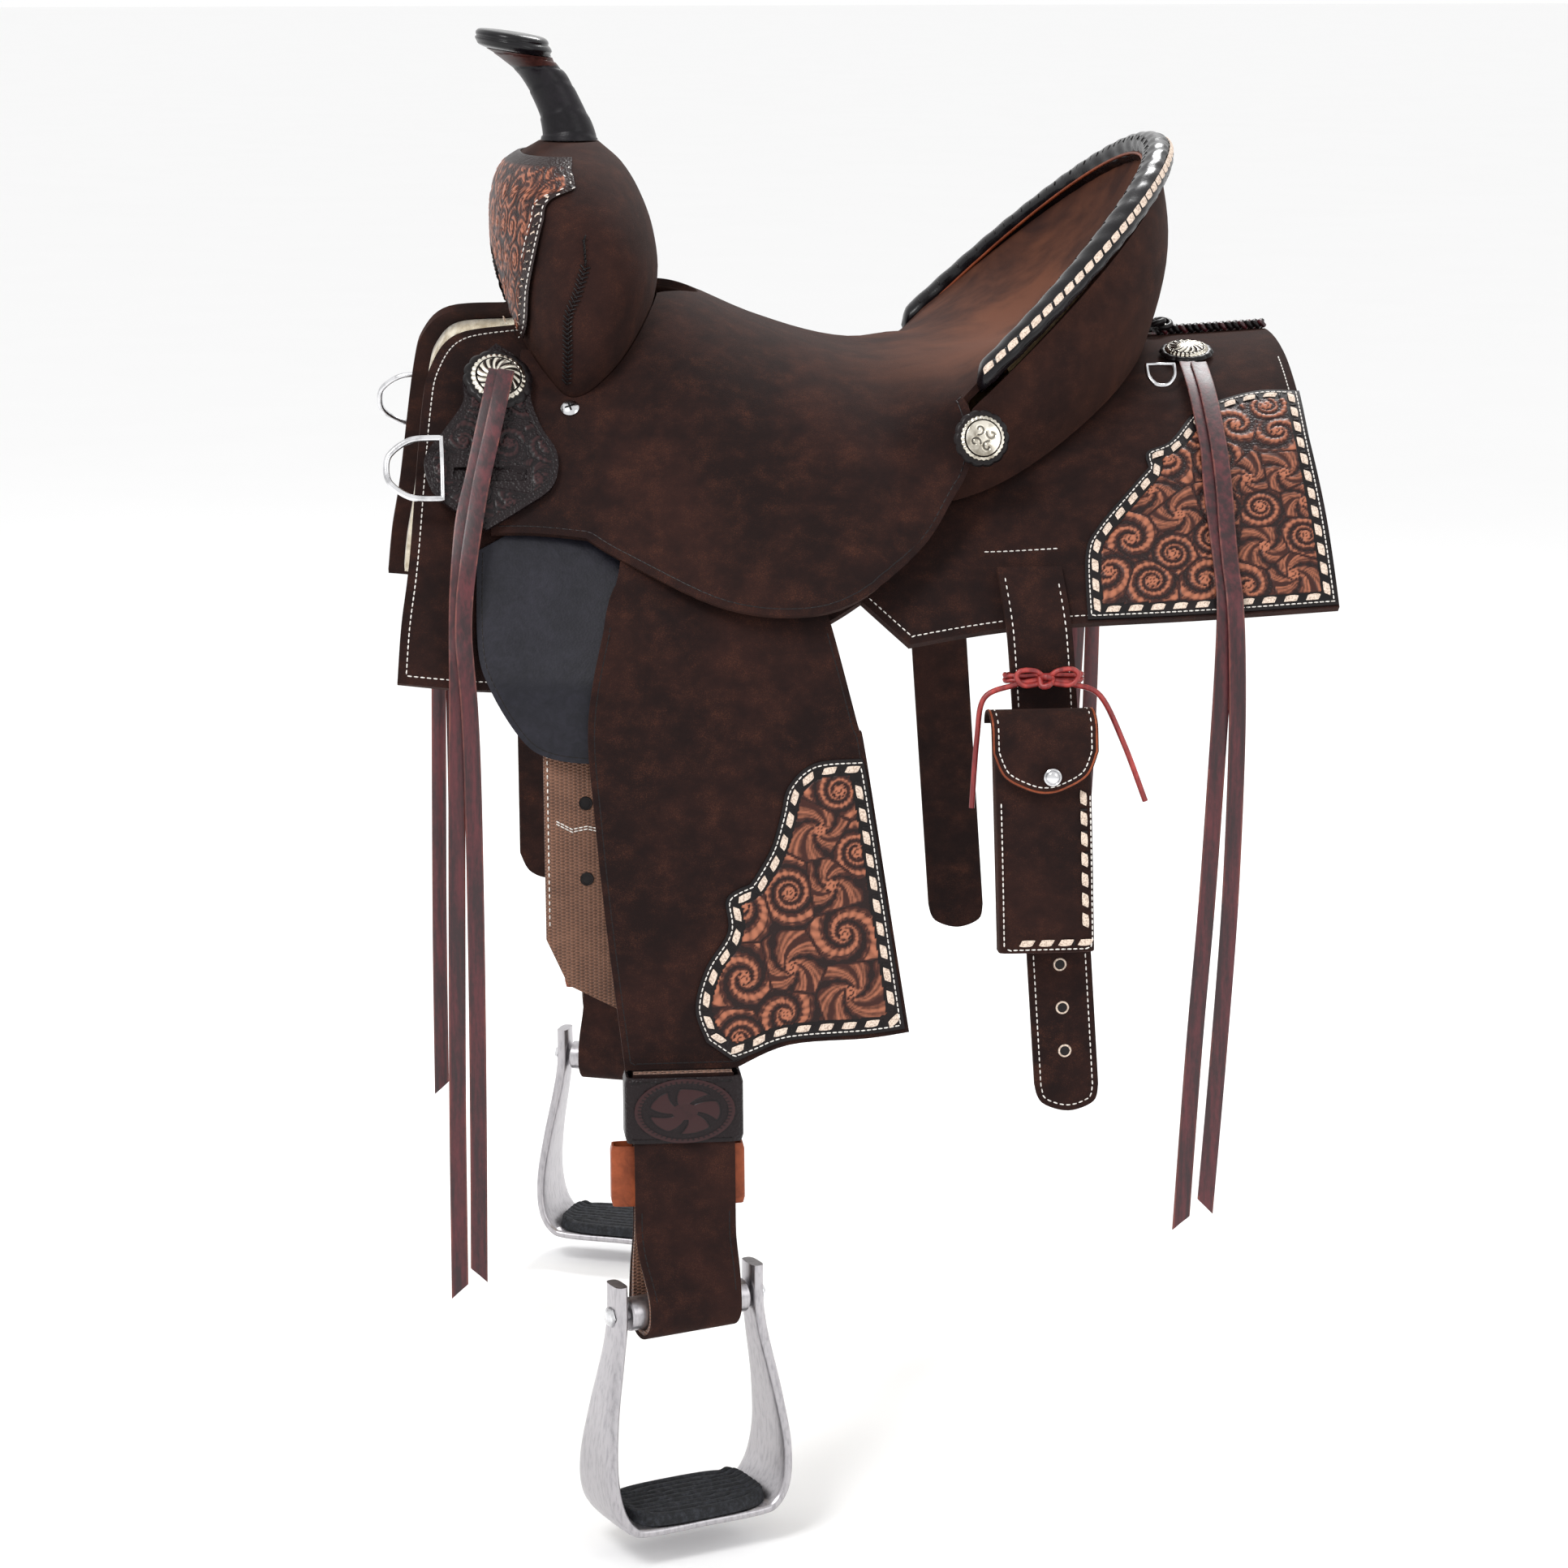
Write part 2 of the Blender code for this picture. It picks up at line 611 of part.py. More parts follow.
def build_skirts():
    other_side(draped("skirt_left", skirt_loop(0.0), skirt_height, 0.0, SKIRT, (0.03, 0.025), "rough_out"))
    other_side(draped("fleece_left", skirt_loop(0.004), skirt_height, -SKIRT - GAP - 0.0004, 0.012, (0.045, 0.035),
                      "fleece"))
    ridge = [(0.262 + 0.081 * k / 8, 0.0, skirt_height(0.262 + 0.081 * k / 8, 0) + 0.0068) for k in range(9)]
    wire("skirt_lacing", ridge, 0.006, "smooth_black", sides=2)


def on_surface(height, x, y, lift):
    return frame_at(over(height, lift)(x, y), normal_at(height, x, y))


def rosette(name, place, radius, thick=0.005):
    profile = [(0, 0), (radius, 0), (radius, thick * 0.45), (radius * 0.78, thick * 0.55), (radius * 0.74, thick),
               (radius * 0.4, thick * 1.25), (0, thick * 1.3)]
    other_side(turned(name, profile, place, "silver", 20))


KEEPER_LIFT = 0.0162  # outer face of the latigo keeper over the skirt


def build_trim():
    keeper_face = over(skirt_height, KEEPER_LIFT)
    top = seen_from_side(keeper_face, [(-0.2065, 0.040)])[0]
    rosette("front_concho_left", on_surface(skirt_height, *top, KEEPER_LIFT + GAP), 0.0235)
    rosette("cantle_concho_left", frame_at(Vector((0.1085, -0.2125, 0.0050)), Vector((0.12, -1, 0.22))), 0.0190)
    rosette("rear_concho_left", on_surface(skirt_height, 0.2740, -0.066, GAP), 0.0190)
    screw = seen_from_side(over(seat_height, 0.0), [(-0.1590, 0.0205)])[0]
    head = [(0, 0), (0.0061, 0), (0.0061, 0.0012), (0.0042, 0.0026), (0, 0.0028)]
    other_side(turned("jockey_screw_left", head, on_surface(seat_height, *screw, GAP), "silver", 16))

    edge = outline(
        [(-0.2065, 0.062), (-0.2280, 0.046), (-0.2300, 0.028), (-0.2420, 0.012), (-0.2565, -0.0060),
         (-0.2520, -0.0260), (-0.2400, -0.0370), (-0.2177, -0.0510)],
        [(-0.2177, -0.0510), (-0.1930, -0.0380), (-0.1730, -0.0250), (-0.1690, -0.0060), (-0.1790, 0.0110),
         (-0.1850, 0.028), (-0.1850, 0.046), (-0.2065, 0.062)],
        steps=3,
    )
    loop = seen_from_side(keeper_face, edge)
    keeper = draped("latigo_keeper_left", loop, skirt_height, KEEPER_LIFT, 0.0038, (0.02, 0.015), "dark_tooled")
    slot = outline([(-0.2375, -0.0125), (-0.2385, -0.0170), (-0.2375, -0.0215)], [(-0.2375, -0.0215),
                   (-0.1905, -0.0215)], [(-0.1905, -0.0215), (-0.1895, -0.0170), (-0.1905, -0.0125)],
                   [(-0.1905, -0.0125), (-0.2375, -0.0125)], steps=2)
    boolean(keeper, "DIFFERENCE", prism("keeper_slot_cutter", slot, 1, -0.30, -0.10))
    other_side(keeper)

    flap = outline(
        [(-0.2238, -0.066), (-0.2252, -0.125), (-0.2171, -0.1526), (-0.1990, -0.1830), (-0.1821, -0.1960),
         (-0.1539, -0.2005), (-0.1300, -0.1950), (-0.1220, -0.1700)],
        [(-0.1220, -0.1700), (-0.1220, -0.0600)],
        [(-0.1220, -0.0600), (-0.1700, -0.0450), (-0.2238, -0.066)],
        steps=3,
    )
    def flap_face(lift):
        face_at = over(skirt_height, lift)

        def place(x, z):
            x_on, y_on = seen_from_side(face_at, [(x, max(z, -0.1535))])[0]
            return Vector((x, face_at(x_on, y_on).y, z))

        return place

    other_side(sheet("rigging_flap_left", flap, flap_face(0.0036), flap_face(0.0008), (0.024, 0.022), "flap"))


def ring_shape(long, high):
    """A D ring in its own plane: straight side at +X, bow towards -X."""
    bow = smooth_run([(0, high / 2), (-long * 0.55, high * 0.47), (-long * 0.92, high * 0.25), (-long, 0),
                      (-long * 0.92, -high * 0.25), (-long * 0.55, -high * 0.47), (0, -high / 2)], 3)
    return bow + [(0, -high / 2)]


FRONT_DEE = Vector((-0.2455, -0.1960, -0.0120))
REAR_DEE = Vector((0.2480, -0.1050, 0.0405))


def build_dees():
    lean = Vector((0, -0.40, -1)).normalized()
    loop = [FRONT_DEE + Vector((a, 0, 0)) - lean * b for a, b in ring_shape(0.0365, 0.041)]
    other_side(wire("front_dee_left", loop, 0.0021, "silver", cyclic=True, sides=1))
    down = Vector((0, -0.62, -0.78)).normalized()
    small = [REAR_DEE + Vector((b, 0, 0)) - down * a for a, b in ring_shape(0.017, 0.019)]
    other_side(wire("rear_dee_left", small, 0.0015, "silver", cyclic=True, sides=1))


# ---------------------------------------------------------------- straps and pouch
def build_billets():
    low = -0.425
    loop = outline(
        [(0.1175, -0.0785), (0.1175, low)],
        [(0.1175, low), (0.1215, low - 0.012), (0.139, low - 0.018), (0.1565, low - 0.012), (0.1605, low)],
        [(0.1605, low), (0.1605, -0.0785)],
        [(0.1605, -0.0785), (0.1175, -0.0785)],
        steps=2,
    )
    billet = hanging("flank_billet_left", loop, BILLET_LINE, STRAP, (0.05, 0.012), "rough_out", BILLET_LEAN)
    other_side(billet)

    def pouch_box(grow, top, low_z):
        y_back, y_front = -0.2660 + grow, -0.2865 - grow
        x0, x1, lean = 0.1085 - grow, 0.1720 + grow, 0.035
        rings = []
        for z in (top, low_z):
            shift = -lean * (z + 0.20)
            rings.append([Vector((x + shift, y, z)) for x, y in (
                (x0, y_back), (x1, y_back), (x1, y_front + 0.006), (x1 - 0.006, y_front), (x0 + 0.006, y_front),
                (x0, y_front + 0.006))])
        return rings

    pouch = lofted("pouch", pouch_box(0.0, -0.176, -0.3275), "rough_out")
    boolean(pouch, "DIFFERENCE", lofted("pouch_room_cutter", pouch_box(-0.0025, -0.150, -0.3250)))

    def flap(lift):
        def place(x, s):
            reach, radius = -0.2665, 0.0125
            if s < 0.026:
                turn = math.pi * s / 0.026
                centre = Vector((0, reach - radius - 0.0012, -0.1755))
                out = Vector((0, math.cos(turn), math.sin(turn) * 0.75))
                point = centre + Vector((0, radius * 1.12 * math.cos(turn), 0.0095 * math.sin(turn)))
            else:
                out = Vector((0, -1, 0))
                point = Vector((0, reach - radius * 2.12 - 0.0012, -0.1755 - (s - 0.026)))
            return Vector((x - 0.035 * (point.z + 0.20), 0, 0)) + point + out * lift

        return place

    edge = outline(
        [(0.1050, 0.0), (0.1050, 0.040)],
        [(0.1050, 0.040), (0.1120, 0.0560), (0.1270, 0.0650), (0.1400, 0.0680), (0.1530, 0.0650), (0.1680, 0.0560),
         (0.1750, 0.040)],
        [(0.1750, 0.040), (0.1750, 0.0)],
        [(0.1750, 0.0), (0.1050, 0.0)],
        steps=3,
    )
    sheet("pouch_flap", edge, flap(0.0026), flap(0.0004), (0.024, 0.0065), "rough_out")
    snap = frame_at(Vector((0.1440, -0.2993, -0.2055)), Vector((0, -1, 0)))
    turned("pouch_snap", [(0, 0), (0.0058, 0), (0.0058, 0.0012), (0.0035, 0.0026), (0, 0.0030)], snap, "silver", 16)


def build_thong():
    x0, x1 = 0.1188, 0.1688
    outer = [(x0, -0.2545), (x1, -0.2545), (x1, -0.2648), (x0, -0.2648)]
    inner = [(x0 + 0.0022, -0.2563), (x1 - 0.0022, -0.2563), (x1 - 0.0022, -0.2624), (x0 + 0.0022, -0.2624)]
    band = prism("thong_tie", outer, 2, -0.1500, -0.1430, "thong")
    hole = prism("thong_cutter", inner, 2, -0.16, -0.13)
    boolean(band, "DIFFERENCE", hole)
    tails = [
        ((0.1440, -0.2645, -0.1465), (0.1220, -0.2680, -0.1500), (0.1030, -0.2690, -0.1580),
         (0.0985, -0.2690, -0.1850), (0.0955, -0.2690, -0.2310)),
        ((0.1440, -0.2645, -0.1465), (0.1620, -0.2680, -0.1500), (0.1800, -0.2690, -0.1580),
         (0.1960, -0.2690, -0.1900), (0.2110, -0.2690, -0.2290)),
    ]
    for k, route in enumerate(tails):
        points = smooth_run(list(route), 3) + [route[-1]]
        tail = wire(f"thong_tail_{k}", [Vector(p) for p in points], 0.0022, "thong", sides=0)
        PARTS.objects.unlink(tail)
        CUTTERS.objects.link(tail)
        tail.hide_render = True
        tail.display_type = "WIRE"
        boolean(band, "UNION", tail)


def ribbon(name, route, widths, thick, finish):
    """A flat thong whose broad face looks sideways: a loft of small rectangles along a route."""
    rings = []
    points = [Vector(p) for p in route]
    for k, point in enumerate(points):
        ahead = points[min(k + 1, len(points) - 1)] - points[max(k - 1, 0)]
        across = Vector((1, 0, 0))
        out = ahead.cross(across).normalized()
        w, t = widths[k] / 2, thick / 2
        rings.append([point + across * a * w + out * b * t for a, b in ((-1, -1), (1, -1), (1, 1), (-1, 1))])
    return lofted(name, rings, finish)


def string_route(stations, fall):
    """A thong lying on the skirt at (x, half-width, lift) stations, then hanging through points."""
    return [over(skirt_height, lift)(x, -y) for x, y, lift in stations] + [Vector(point) for point in fall]


def build_strings():
    front = string_route(
        [(-0.2135, 0.1520, 0.0205), (-0.2180, 0.1640, 0.0200), (-0.2235, 0.1780, 0.0200), (-0.2285, 0.1920, 0.0200),
         (-0.2320, 0.2060, 0.0185), (-0.2345, 0.2170, 0.0140), (-0.2360, 0.2270, 0.0100), (-0.2365, 0.2350, 0.0075)],
        [(-0.2365, -0.2465, -0.1650), (-0.2365, -0.2470, -0.2200), (-0.2365, -0.2470, -0.3300),
         (-0.2365, -0.2470, -0.4400), (-0.2365, -0.2470, -0.5480)])
    rear = string_route(
        [(0.2735, 0.0900, 0.0058), (0.2735, 0.1180, 0.0056), (0.2730, 0.1450, 0.0054), (0.2725, 0.1700, 0.0054),
         (0.2715, 0.1930, 0.0054), (0.2705, 0.2150, 0.0054), (0.2695, 0.2350, 0.0056), (0.2680, 0.2510, 0.0062)],
        [(0.2660, -0.2650, -0.1400), (0.2645, -0.2670, -0.2000), (0.2615, -0.2670, -0.3000),
         (0.2565, -0.2670, -0.4000), (0.2505, -0.2670, -0.5100)])
    for name, route, spread in (("front_strings_left", front, 0.009), ("rear_strings_left", rear, 0.012)):
        last = len(route) - 1
        widths = [0.0145 + spread * max(0, k - 8) / (last - 8) for k in range(last + 1)]
        other_side(ribbon(name, route, widths, 0.005, "string"))


def build_cinch_straps():
    line = [(-0.162, 0.2405), (-0.20, 0.2400), (-0.38, 0.2375)]
    loop = [(-0.1840, -0.1620), (-0.1840, -0.3210), (-0.1700, -0.3525), (-0.1370, -0.3700), (-0.1370, -0.1620)]
    latigo = hanging("latigo", loop, line, 0.0046, (0.05, 0.05), "webbing", 0.006)
    strap = outline(
        [(-0.1820, -0.1620), (-0.1820, -0.370)],
        [(-0.1820, -0.370), (-0.1750, -0.384), (-0.1605, -0.390), (-0.1460, -0.384), (-0.1390, -0.370)],
        [(-0.1390, -0.370), (-0.1390, -0.1620)],
        [(-0.1390, -0.1620), (-0.1820, -0.1620)],
        steps=2,
    )
    off = hanging("off_billet", strap, line, 0.0046, (0.05, 0.05), "rough_out", 0.006)
    off.scale.y = -1


# ---------------------------------------------------------------- stirrup leathers
def build_fenders():
    strap_line = [(0.010, 0.158), (0.0, 0.165), (-0.03, 0.190), (-0.05, 0.206), (-0.08, 0.228), (-0.094, 0.238),
                  (-0.1065, 0.2485)]
    loop = [(SWING_X - STRAP_HALF, 0.002), (SWING_X - STRAP_HALF, -0.1065), (SWING_X + STRAP_HALF, -0.1065),
            (SWING_X + STRAP_HALF, 0.002)]
    other_side(hanging("stirrup_strap_left", loop, strap_line, STRAP, (0.03, 0.013), "rough_out"))

    edge = outline(
        [(-0.1430, -0.1085), (-0.1549, -0.1718), (-0.1513, -0.2382), (-0.1444, -0.3126), (-0.1345, -0.3990)],
        [(-0.1345, -0.3990), (-0.0610, -0.3990)],
        [(-0.0610, -0.3990), (-0.0262, -0.3852), (0.0250, -0.3825), (0.0535, -0.3790)],
        [(0.0535, -0.3790), (0.0272, -0.1994), (0.0212, -0.1754), (0.0050, -0.1120)],
        [(0.0050, -0.1120), (-0.0200, -0.1085)],
        [(-0.0200, -0.1085), (-0.1430, -0.1085)],
        steps=3,
    )
    other_side(hanging("fender_left", edge, FENDER_LINE, FENDER, (0.035, 0.04), "rough_out"))


def leg_frame(z):
    """The stirrup leather's middle line: its centre and the direction of its width at a height."""
    drop = (-0.40 - z) / (-0.40 - BOLT.z)
    centre = Vector((LEG_X, -0.2870 + (BOLT.y + 0.2870) * drop, z))
    turn = LEG_TURN * (1 - smooth_step(-0.550, -0.500, z))
    wide = Vector((math.cos(turn), math.sin(turn), 0))
    return centre, wide, Vector((wide.y, -wide.x, 0))


def build_leather_loop():
    """The doubled leather from the hobble down round the stirrup's roller and up behind."""
    thick = 0.0055
    middle = ROLLER_RADIUS + 0.0010 + thick / 2
    front = [(0.0036, -0.4002), (0.0040, -0.415), (0.0056, -0.432), (0.0085, -0.447), (0.0095, -0.500),
             (0.0105, -0.512), (0.0118, -0.522), (0.0130, -0.532), (0.0140, -0.542), (middle, BOLT.z + 0.004)]
    turn = [(middle * math.cos(a), BOLT.z - middle * math.sin(a)) for a in [math.pi * k / 10 for k in range(11)]]
    rear = [(-n, z) for n, z in reversed(front)]
    path = front + turn + rear
    rings = []
    for k, (n, z) in enumerate(path):
        a, b = path[max(k - 1, 0)], path[min(k + 1, len(path) - 1)]
        along = Vector((b[0] - a[0], b[1] - a[1])).normalized()
        out = Vector((along.y, -along.x)) * -1
        half = LEG_WIDE / 2
        ring = []
        for face, across in ((1, (-1, -0.33, 0.33, 1)), (-1, (1, 0.33, -0.33, -1))):
            for side in across:
                height = z + out.y * face * thick / 2
                centre, wide, normal = leg_frame(height)
                ring.append(centre + wide * side * half + normal * (n + out.x * face * thick / 2))
        rings.append(ring)
    other_side(lofted("leather_loop_left", rings, "rough_out"))


def band_round(name, z_low, z_high, half, n_low, n_high, wall, finish, shift=0.0):
    """A strap round the stirrup leather: a flat ring, tilted with the leather."""

    def ring(grow, low, high):
        rings = []
        for z in (low, high):
            centre, wide, normal = leg_frame(z)
            centre = centre + wide * shift
            h, a, b = half + grow, n_low - grow, n_high + grow
            cut = 0.003
            rings.append([centre + wide * u + normal * v for u, v in (
                (-h, a + cut), (-h + cut, a), (h - cut, a), (h, a + cut), (h, b - cut), (h - cut, b),
                (-h + cut, b), (-h, b - cut))])
        return rings

    band = lofted(name, ring(wall, z_low, z_high), finish)
    boolean(band, "DIFFERENCE", lofted(name + "_cutter", ring(0.0, z_low - 0.01, z_high + 0.01)))
    return other_side(band)


def stirrup_axes():
    wide = Vector((math.cos(LEG_TURN), math.sin(LEG_TURN), 0))
    return wide, Vector((wide.y, -wide.x, 0))


def stirrup_bow(name, thick, wider, finish=None):
    """The stirrup's bow: a flattened bar lofted along its middle line, wider at the tread."""
    wide, deep = stirrup_axes()
    half = smooth_run(STIRRUP_HALF, 3) + [STIRRUP_HALF[-1]]
    path = half + [(-a, z, d) for a, z, d in reversed(half[:-1])]
    rings = []
    for k, (a, z, depth) in enumerate(path):
        before, after = path[max(k - 1, 0)], path[min(k + 1, len(path) - 1)]
        along = Vector((after[0] - before[0], after[1] - before[1])).normalized()
        out = Vector((-along.y, along.x))
        ring = []
        t, d = thick / 2, depth / 2 + wider
        for f, s in ((-0.5, -1), (0.5, -1), (1, -0.8), (1, 0.8), (0.5, 1), (-0.5, 1), (-1, 0.8), (-1, -0.8)):
            ring.append(Vector((BOLT.x, BOLT.y, 0)) + wide * (a + out.x * f * t) + deep * (s * d)
                        + Vector((0, 0, z + out.y * f * t)))
        rings.append(ring)
    return lofted(name, rings, finish)


def build_stirrup():
    wide, deep = stirrup_axes()
    other_side(stirrup_bow("stirrup_left", STIRRUP_THICK, 0.0, "aluminium"))

    inner = STIRRUP_HALF[0][0] - STIRRUP_THICK / 2 - 0.0012
    place = frame_at(BOLT - wide * inner, wide, Vector((0, 0, 1)))
    roller = [(0, 0), (ROLLER_RADIUS, 0), (ROLLER_RADIUS, 2 * inner), (0, 2 * inner)]
    other_side(turned("stirrup_roller_left", roller, place, "aluminium", 16))

    low, long, deep_half = STIRRUP_HALF[-1][1] + STIRRUP_THICK / 2 - 0.001, 0.0520, 0.0300
    rings = []
    for z, shrink in ((low, 0.0), (low + 0.0070, 0.0), (low + 0.0092, 0.0020)):
        ring = []
        for k in range(20):
            angle = 2 * math.pi * (k + 0.5) / 20
            c, s = math.cos(angle), math.sin(angle)
            size = (abs(c) ** 4 + abs(s) ** 4) ** -0.25
            ring.append(Vector((BOLT.x, BOLT.y, z)) + wide * (long - shrink) * size * c
                        + deep * (deep_half - shrink) * size * s)
        rings.append(ring)
    tread = lofted("stirrup_tread_left", rings, "rubber")
    boolean(tread, "DIFFERENCE", stirrup_bow("tread_cutter", STIRRUP_THICK + 0.0014, 0.012))
    other_side(tread)


def build_leathers():
    build_fenders()
    build_leather_loop()
    band_round("hobble_strap_left", -0.4440, -0.4006, 0.0362, -0.0120, 0.0110, 0.0028, "dark_tooled")
    band_round("buckle_sleeve_left", -0.4900, -0.4500, 0.0420, -0.0160, -0.0040, 0.0022, "sleeve", -0.0035)
    build_stirrup()


# ---------------------------------------------------------------- joint axes
def pivot(name, place, *parts):
    """An empty on a joint's axis that carries its pieces."""
    empty = bpy.data.objects.new(name, None)
    empty.empty_display_size = 0.02
    empty.location = place
    PARTS.objects.link(empty)
    bpy.context.view_layer.update()
    for part in parts:
        obj = bpy.data.objects[part]
        obj.parent = empty
        obj.matrix_parent_inverse = empty.matrix_world.inverted()


def build_pivots():
    for side, sign in (("left", 1), ("right", -1)):
        flip = Vector((1, sign, 1))
        pivot(f"fender_swing_{side}", Vector((SWING_X, -0.19, SWING_Z)) * flip, f"stirrup_strap_{side}")
        pivot(f"fender_lift_{side}", Vector((SWING_X, LIFT_Y, LIFT_Z)) * flip, f"fender_{side}",
              f"leather_loop_{side}", f"hobble_strap_{side}", f"buckle_sleeve_{side}")
        pivot(f"stirrup_tip_{side}", BOLT * flip, f"stirrup_{side}", f"stirrup_tread_{side}",
              f"stirrup_roller_{side}")
        pivot(f"front_dee_turn_{side}", FRONT_DEE * flip, f"front_dee_{side}")
        pivot(f"rear_dee_lift_{side}", REAR_DEE * flip, f"rear_dee_{side}")
        pivot(f"billet_lift_{side}", Vector((0.139, -0.226, -0.078)) * flip, f"flank_billet_{side}")
    pivot("latigo_swing", (-0.1605, -0.2405, -0.162), "latigo")
    pivot("off_billet_swing", (-0.1605, 0.2405, -0.162), "off_billet")
    pivot("pouch_flap_open", (0.140, -0.2655, -0.1655), "pouch_flap", "pouch_snap")


def main():
    build_tree()
    build_swell()
    build_horn()
    build_seat()
    build_cantle()
    build_skirts()
    build_trim()
    build_dees()
    build_billets()
    build_thong()
    build_strings()
    build_cinch_straps()
    build_leathers()
    build_pivots()


main()
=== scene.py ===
"""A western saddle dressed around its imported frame: leather, stitching, tooling, silver and wool.

Leather is laid over two surfaces, unrolled so that a distance in an outline is a distance on the leather.
Metres throughout; the horn points to -X, the near side is -Y, and every off-side piece is a mirrored twin.
"""
import json
import math
import random

import bmesh
import bpy
from mathutils import Matrix, Vector, noise

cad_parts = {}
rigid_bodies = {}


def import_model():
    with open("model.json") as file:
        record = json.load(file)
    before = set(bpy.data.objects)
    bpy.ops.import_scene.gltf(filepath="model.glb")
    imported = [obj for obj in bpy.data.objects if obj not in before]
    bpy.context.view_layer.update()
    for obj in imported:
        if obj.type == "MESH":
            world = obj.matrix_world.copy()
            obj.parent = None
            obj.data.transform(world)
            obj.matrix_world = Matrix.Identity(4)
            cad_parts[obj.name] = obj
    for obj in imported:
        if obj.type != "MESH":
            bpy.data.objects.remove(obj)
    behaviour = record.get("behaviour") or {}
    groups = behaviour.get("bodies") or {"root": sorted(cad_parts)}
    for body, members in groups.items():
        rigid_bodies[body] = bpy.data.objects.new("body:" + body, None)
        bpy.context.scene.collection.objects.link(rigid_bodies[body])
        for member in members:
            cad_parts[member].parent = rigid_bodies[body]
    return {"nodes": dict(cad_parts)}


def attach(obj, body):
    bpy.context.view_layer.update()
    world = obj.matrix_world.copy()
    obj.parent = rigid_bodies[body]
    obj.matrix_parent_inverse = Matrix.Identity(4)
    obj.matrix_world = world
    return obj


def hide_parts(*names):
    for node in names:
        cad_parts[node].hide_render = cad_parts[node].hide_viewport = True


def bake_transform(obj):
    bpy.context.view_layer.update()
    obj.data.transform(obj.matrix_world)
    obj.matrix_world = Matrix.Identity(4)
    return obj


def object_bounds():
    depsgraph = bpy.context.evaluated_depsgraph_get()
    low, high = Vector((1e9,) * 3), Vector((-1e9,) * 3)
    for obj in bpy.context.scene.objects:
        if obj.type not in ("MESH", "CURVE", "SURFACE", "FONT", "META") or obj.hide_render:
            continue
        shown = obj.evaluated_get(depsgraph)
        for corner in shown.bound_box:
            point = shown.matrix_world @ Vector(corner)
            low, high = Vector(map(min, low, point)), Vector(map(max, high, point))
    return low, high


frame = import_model()
CAD_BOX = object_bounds()

SKIRT_THICK, JOCKEY_THICK, FENDER_THICK = 0.006, 0.005, 0.0045
SKIRT_STATIONS = [  # x, ridge height, height and half-width of the lower edge
    (-0.280, 0.115, -0.147, 0.238),
    (-0.155, 0.082, -0.150, 0.243),
    (0.000, 0.035, -0.118, 0.247),
    (0.090, 0.028, -0.120, 0.249),
    (0.200, 0.045, -0.110, 0.252),
    (0.340, 0.054, -0.105, 0.254),
]
SKIRT_ROUND = 2.2
SEAT_STATIONS = [  # x, height at the centre, power, height and half-width of the jockey's edge
    (-0.215, 0.104, 2.2, -0.053, 0.2025),
    (-0.155, 0.094, 2.2, -0.057, 0.2085),
    (-0.080, 0.0905, 2.7, -0.094, 0.2560),
    (-0.020, 0.066, 3.0, -0.102, 0.2660),
    (0.030, 0.0495, 3.4, -0.085, 0.2600),
    (0.066, 0.0445, 4.0, -0.064, 0.2350),
    (0.100, 0.0465, 6.0, -0.016, 0.2080),
]
ROLL_X, ROLL_Z, ROLL_DEEP, ROLL_WIDE, ROLL_RISE, ROLL_RADIUS = 0.100, 0.032, 0.160, 0.190, 0.150, 0.0105
SWELL_STATIONS = [  # height, front and back x, half-width
    (0.004, -0.164, -0.137, 0.118),
    (0.022, -0.169, -0.131, 0.1375),
    (0.034, -0.177, -0.119, 0.1480),
    (0.050, -0.187, -0.106, 0.1570),
    (0.070, -0.195, -0.097, 0.161),
    (0.100, -0.199, -0.0905, 0.158),
    (0.130, -0.201, -0.0935, 0.147),
    (0.155, -0.1995, -0.102, 0.124),
    (0.175, -0.191, -0.114, 0.088),
    (0.1885, -0.171, -0.129, 0.036),
]
SWELL_POWER = 2.35
GULLET_HALF, GULLET_TOP = 0.085, 0.118
KEEPER_LIFT = 0.0162
BOLT = Vector((-0.097, -0.300, -0.556))
LEG_TURN = math.radians(22)
ROLLER_RADIUS = 0.0112
STIRRUP_THICK = 0.009
STIRRUP_HALF = [
    (0.0500, -0.534, 0.020), (0.0500, -0.558, 0.021), (0.0530, -0.582, 0.024), (0.0600, -0.620, 0.036),
    (0.0640, -0.655, 0.050), (0.0615, -0.680, 0.059), (0.0530, -0.6945, 0.062), (0.0400, -0.6985, 0.062),
    (0.0000, -0.6985, 0.062),
]
FENDER_LINE = [(-0.003, 0.163), (-0.03, 0.190), (-0.05, 0.206), (-0.08, 0.228), (-0.094, 0.238),
               (-0.108, 0.2490), (-0.15, 0.2560), (-0.20, 0.2605), (-0.30, 0.2700), (-0.40, 0.2850)]
BILLET_LINE = [(-0.078, 0.226), (-0.09, 0.237), (-0.105, 0.2495), (-0.12, 0.2565), (-0.16, 0.2590),
               (-0.45, 0.2590)]
BILLET_LEAN = 0.070


# ------------------------------------------------------------------ curves and surfaces
def smooth_run(points, steps=6):
    if len(points) == 2:
        return [points[0]]
    ends = [points[0], *points, points[-1]]
    out = []
    for a, b, c, d in zip(ends, ends[1:], ends[2:], ends[3:]):
        for k in range(steps):
            t = k / steps
            weight = (-0.5 * t + t * t - 0.5 * t**3, 1 - 2.5 * t * t + 1.5 * t**3,
                      0.5 * t + 2 * t * t - 1.5 * t**3, -0.5 * t * t + 0.5 * t**3)
            out.append(tuple(sum(w * p[i] for w, p in zip(weight, (a, b, c, d))) for i in range(len(a))))
    return out


def outline(*runs, steps=6):
    return [point for run in runs for point in smooth_run(list(run), steps)]


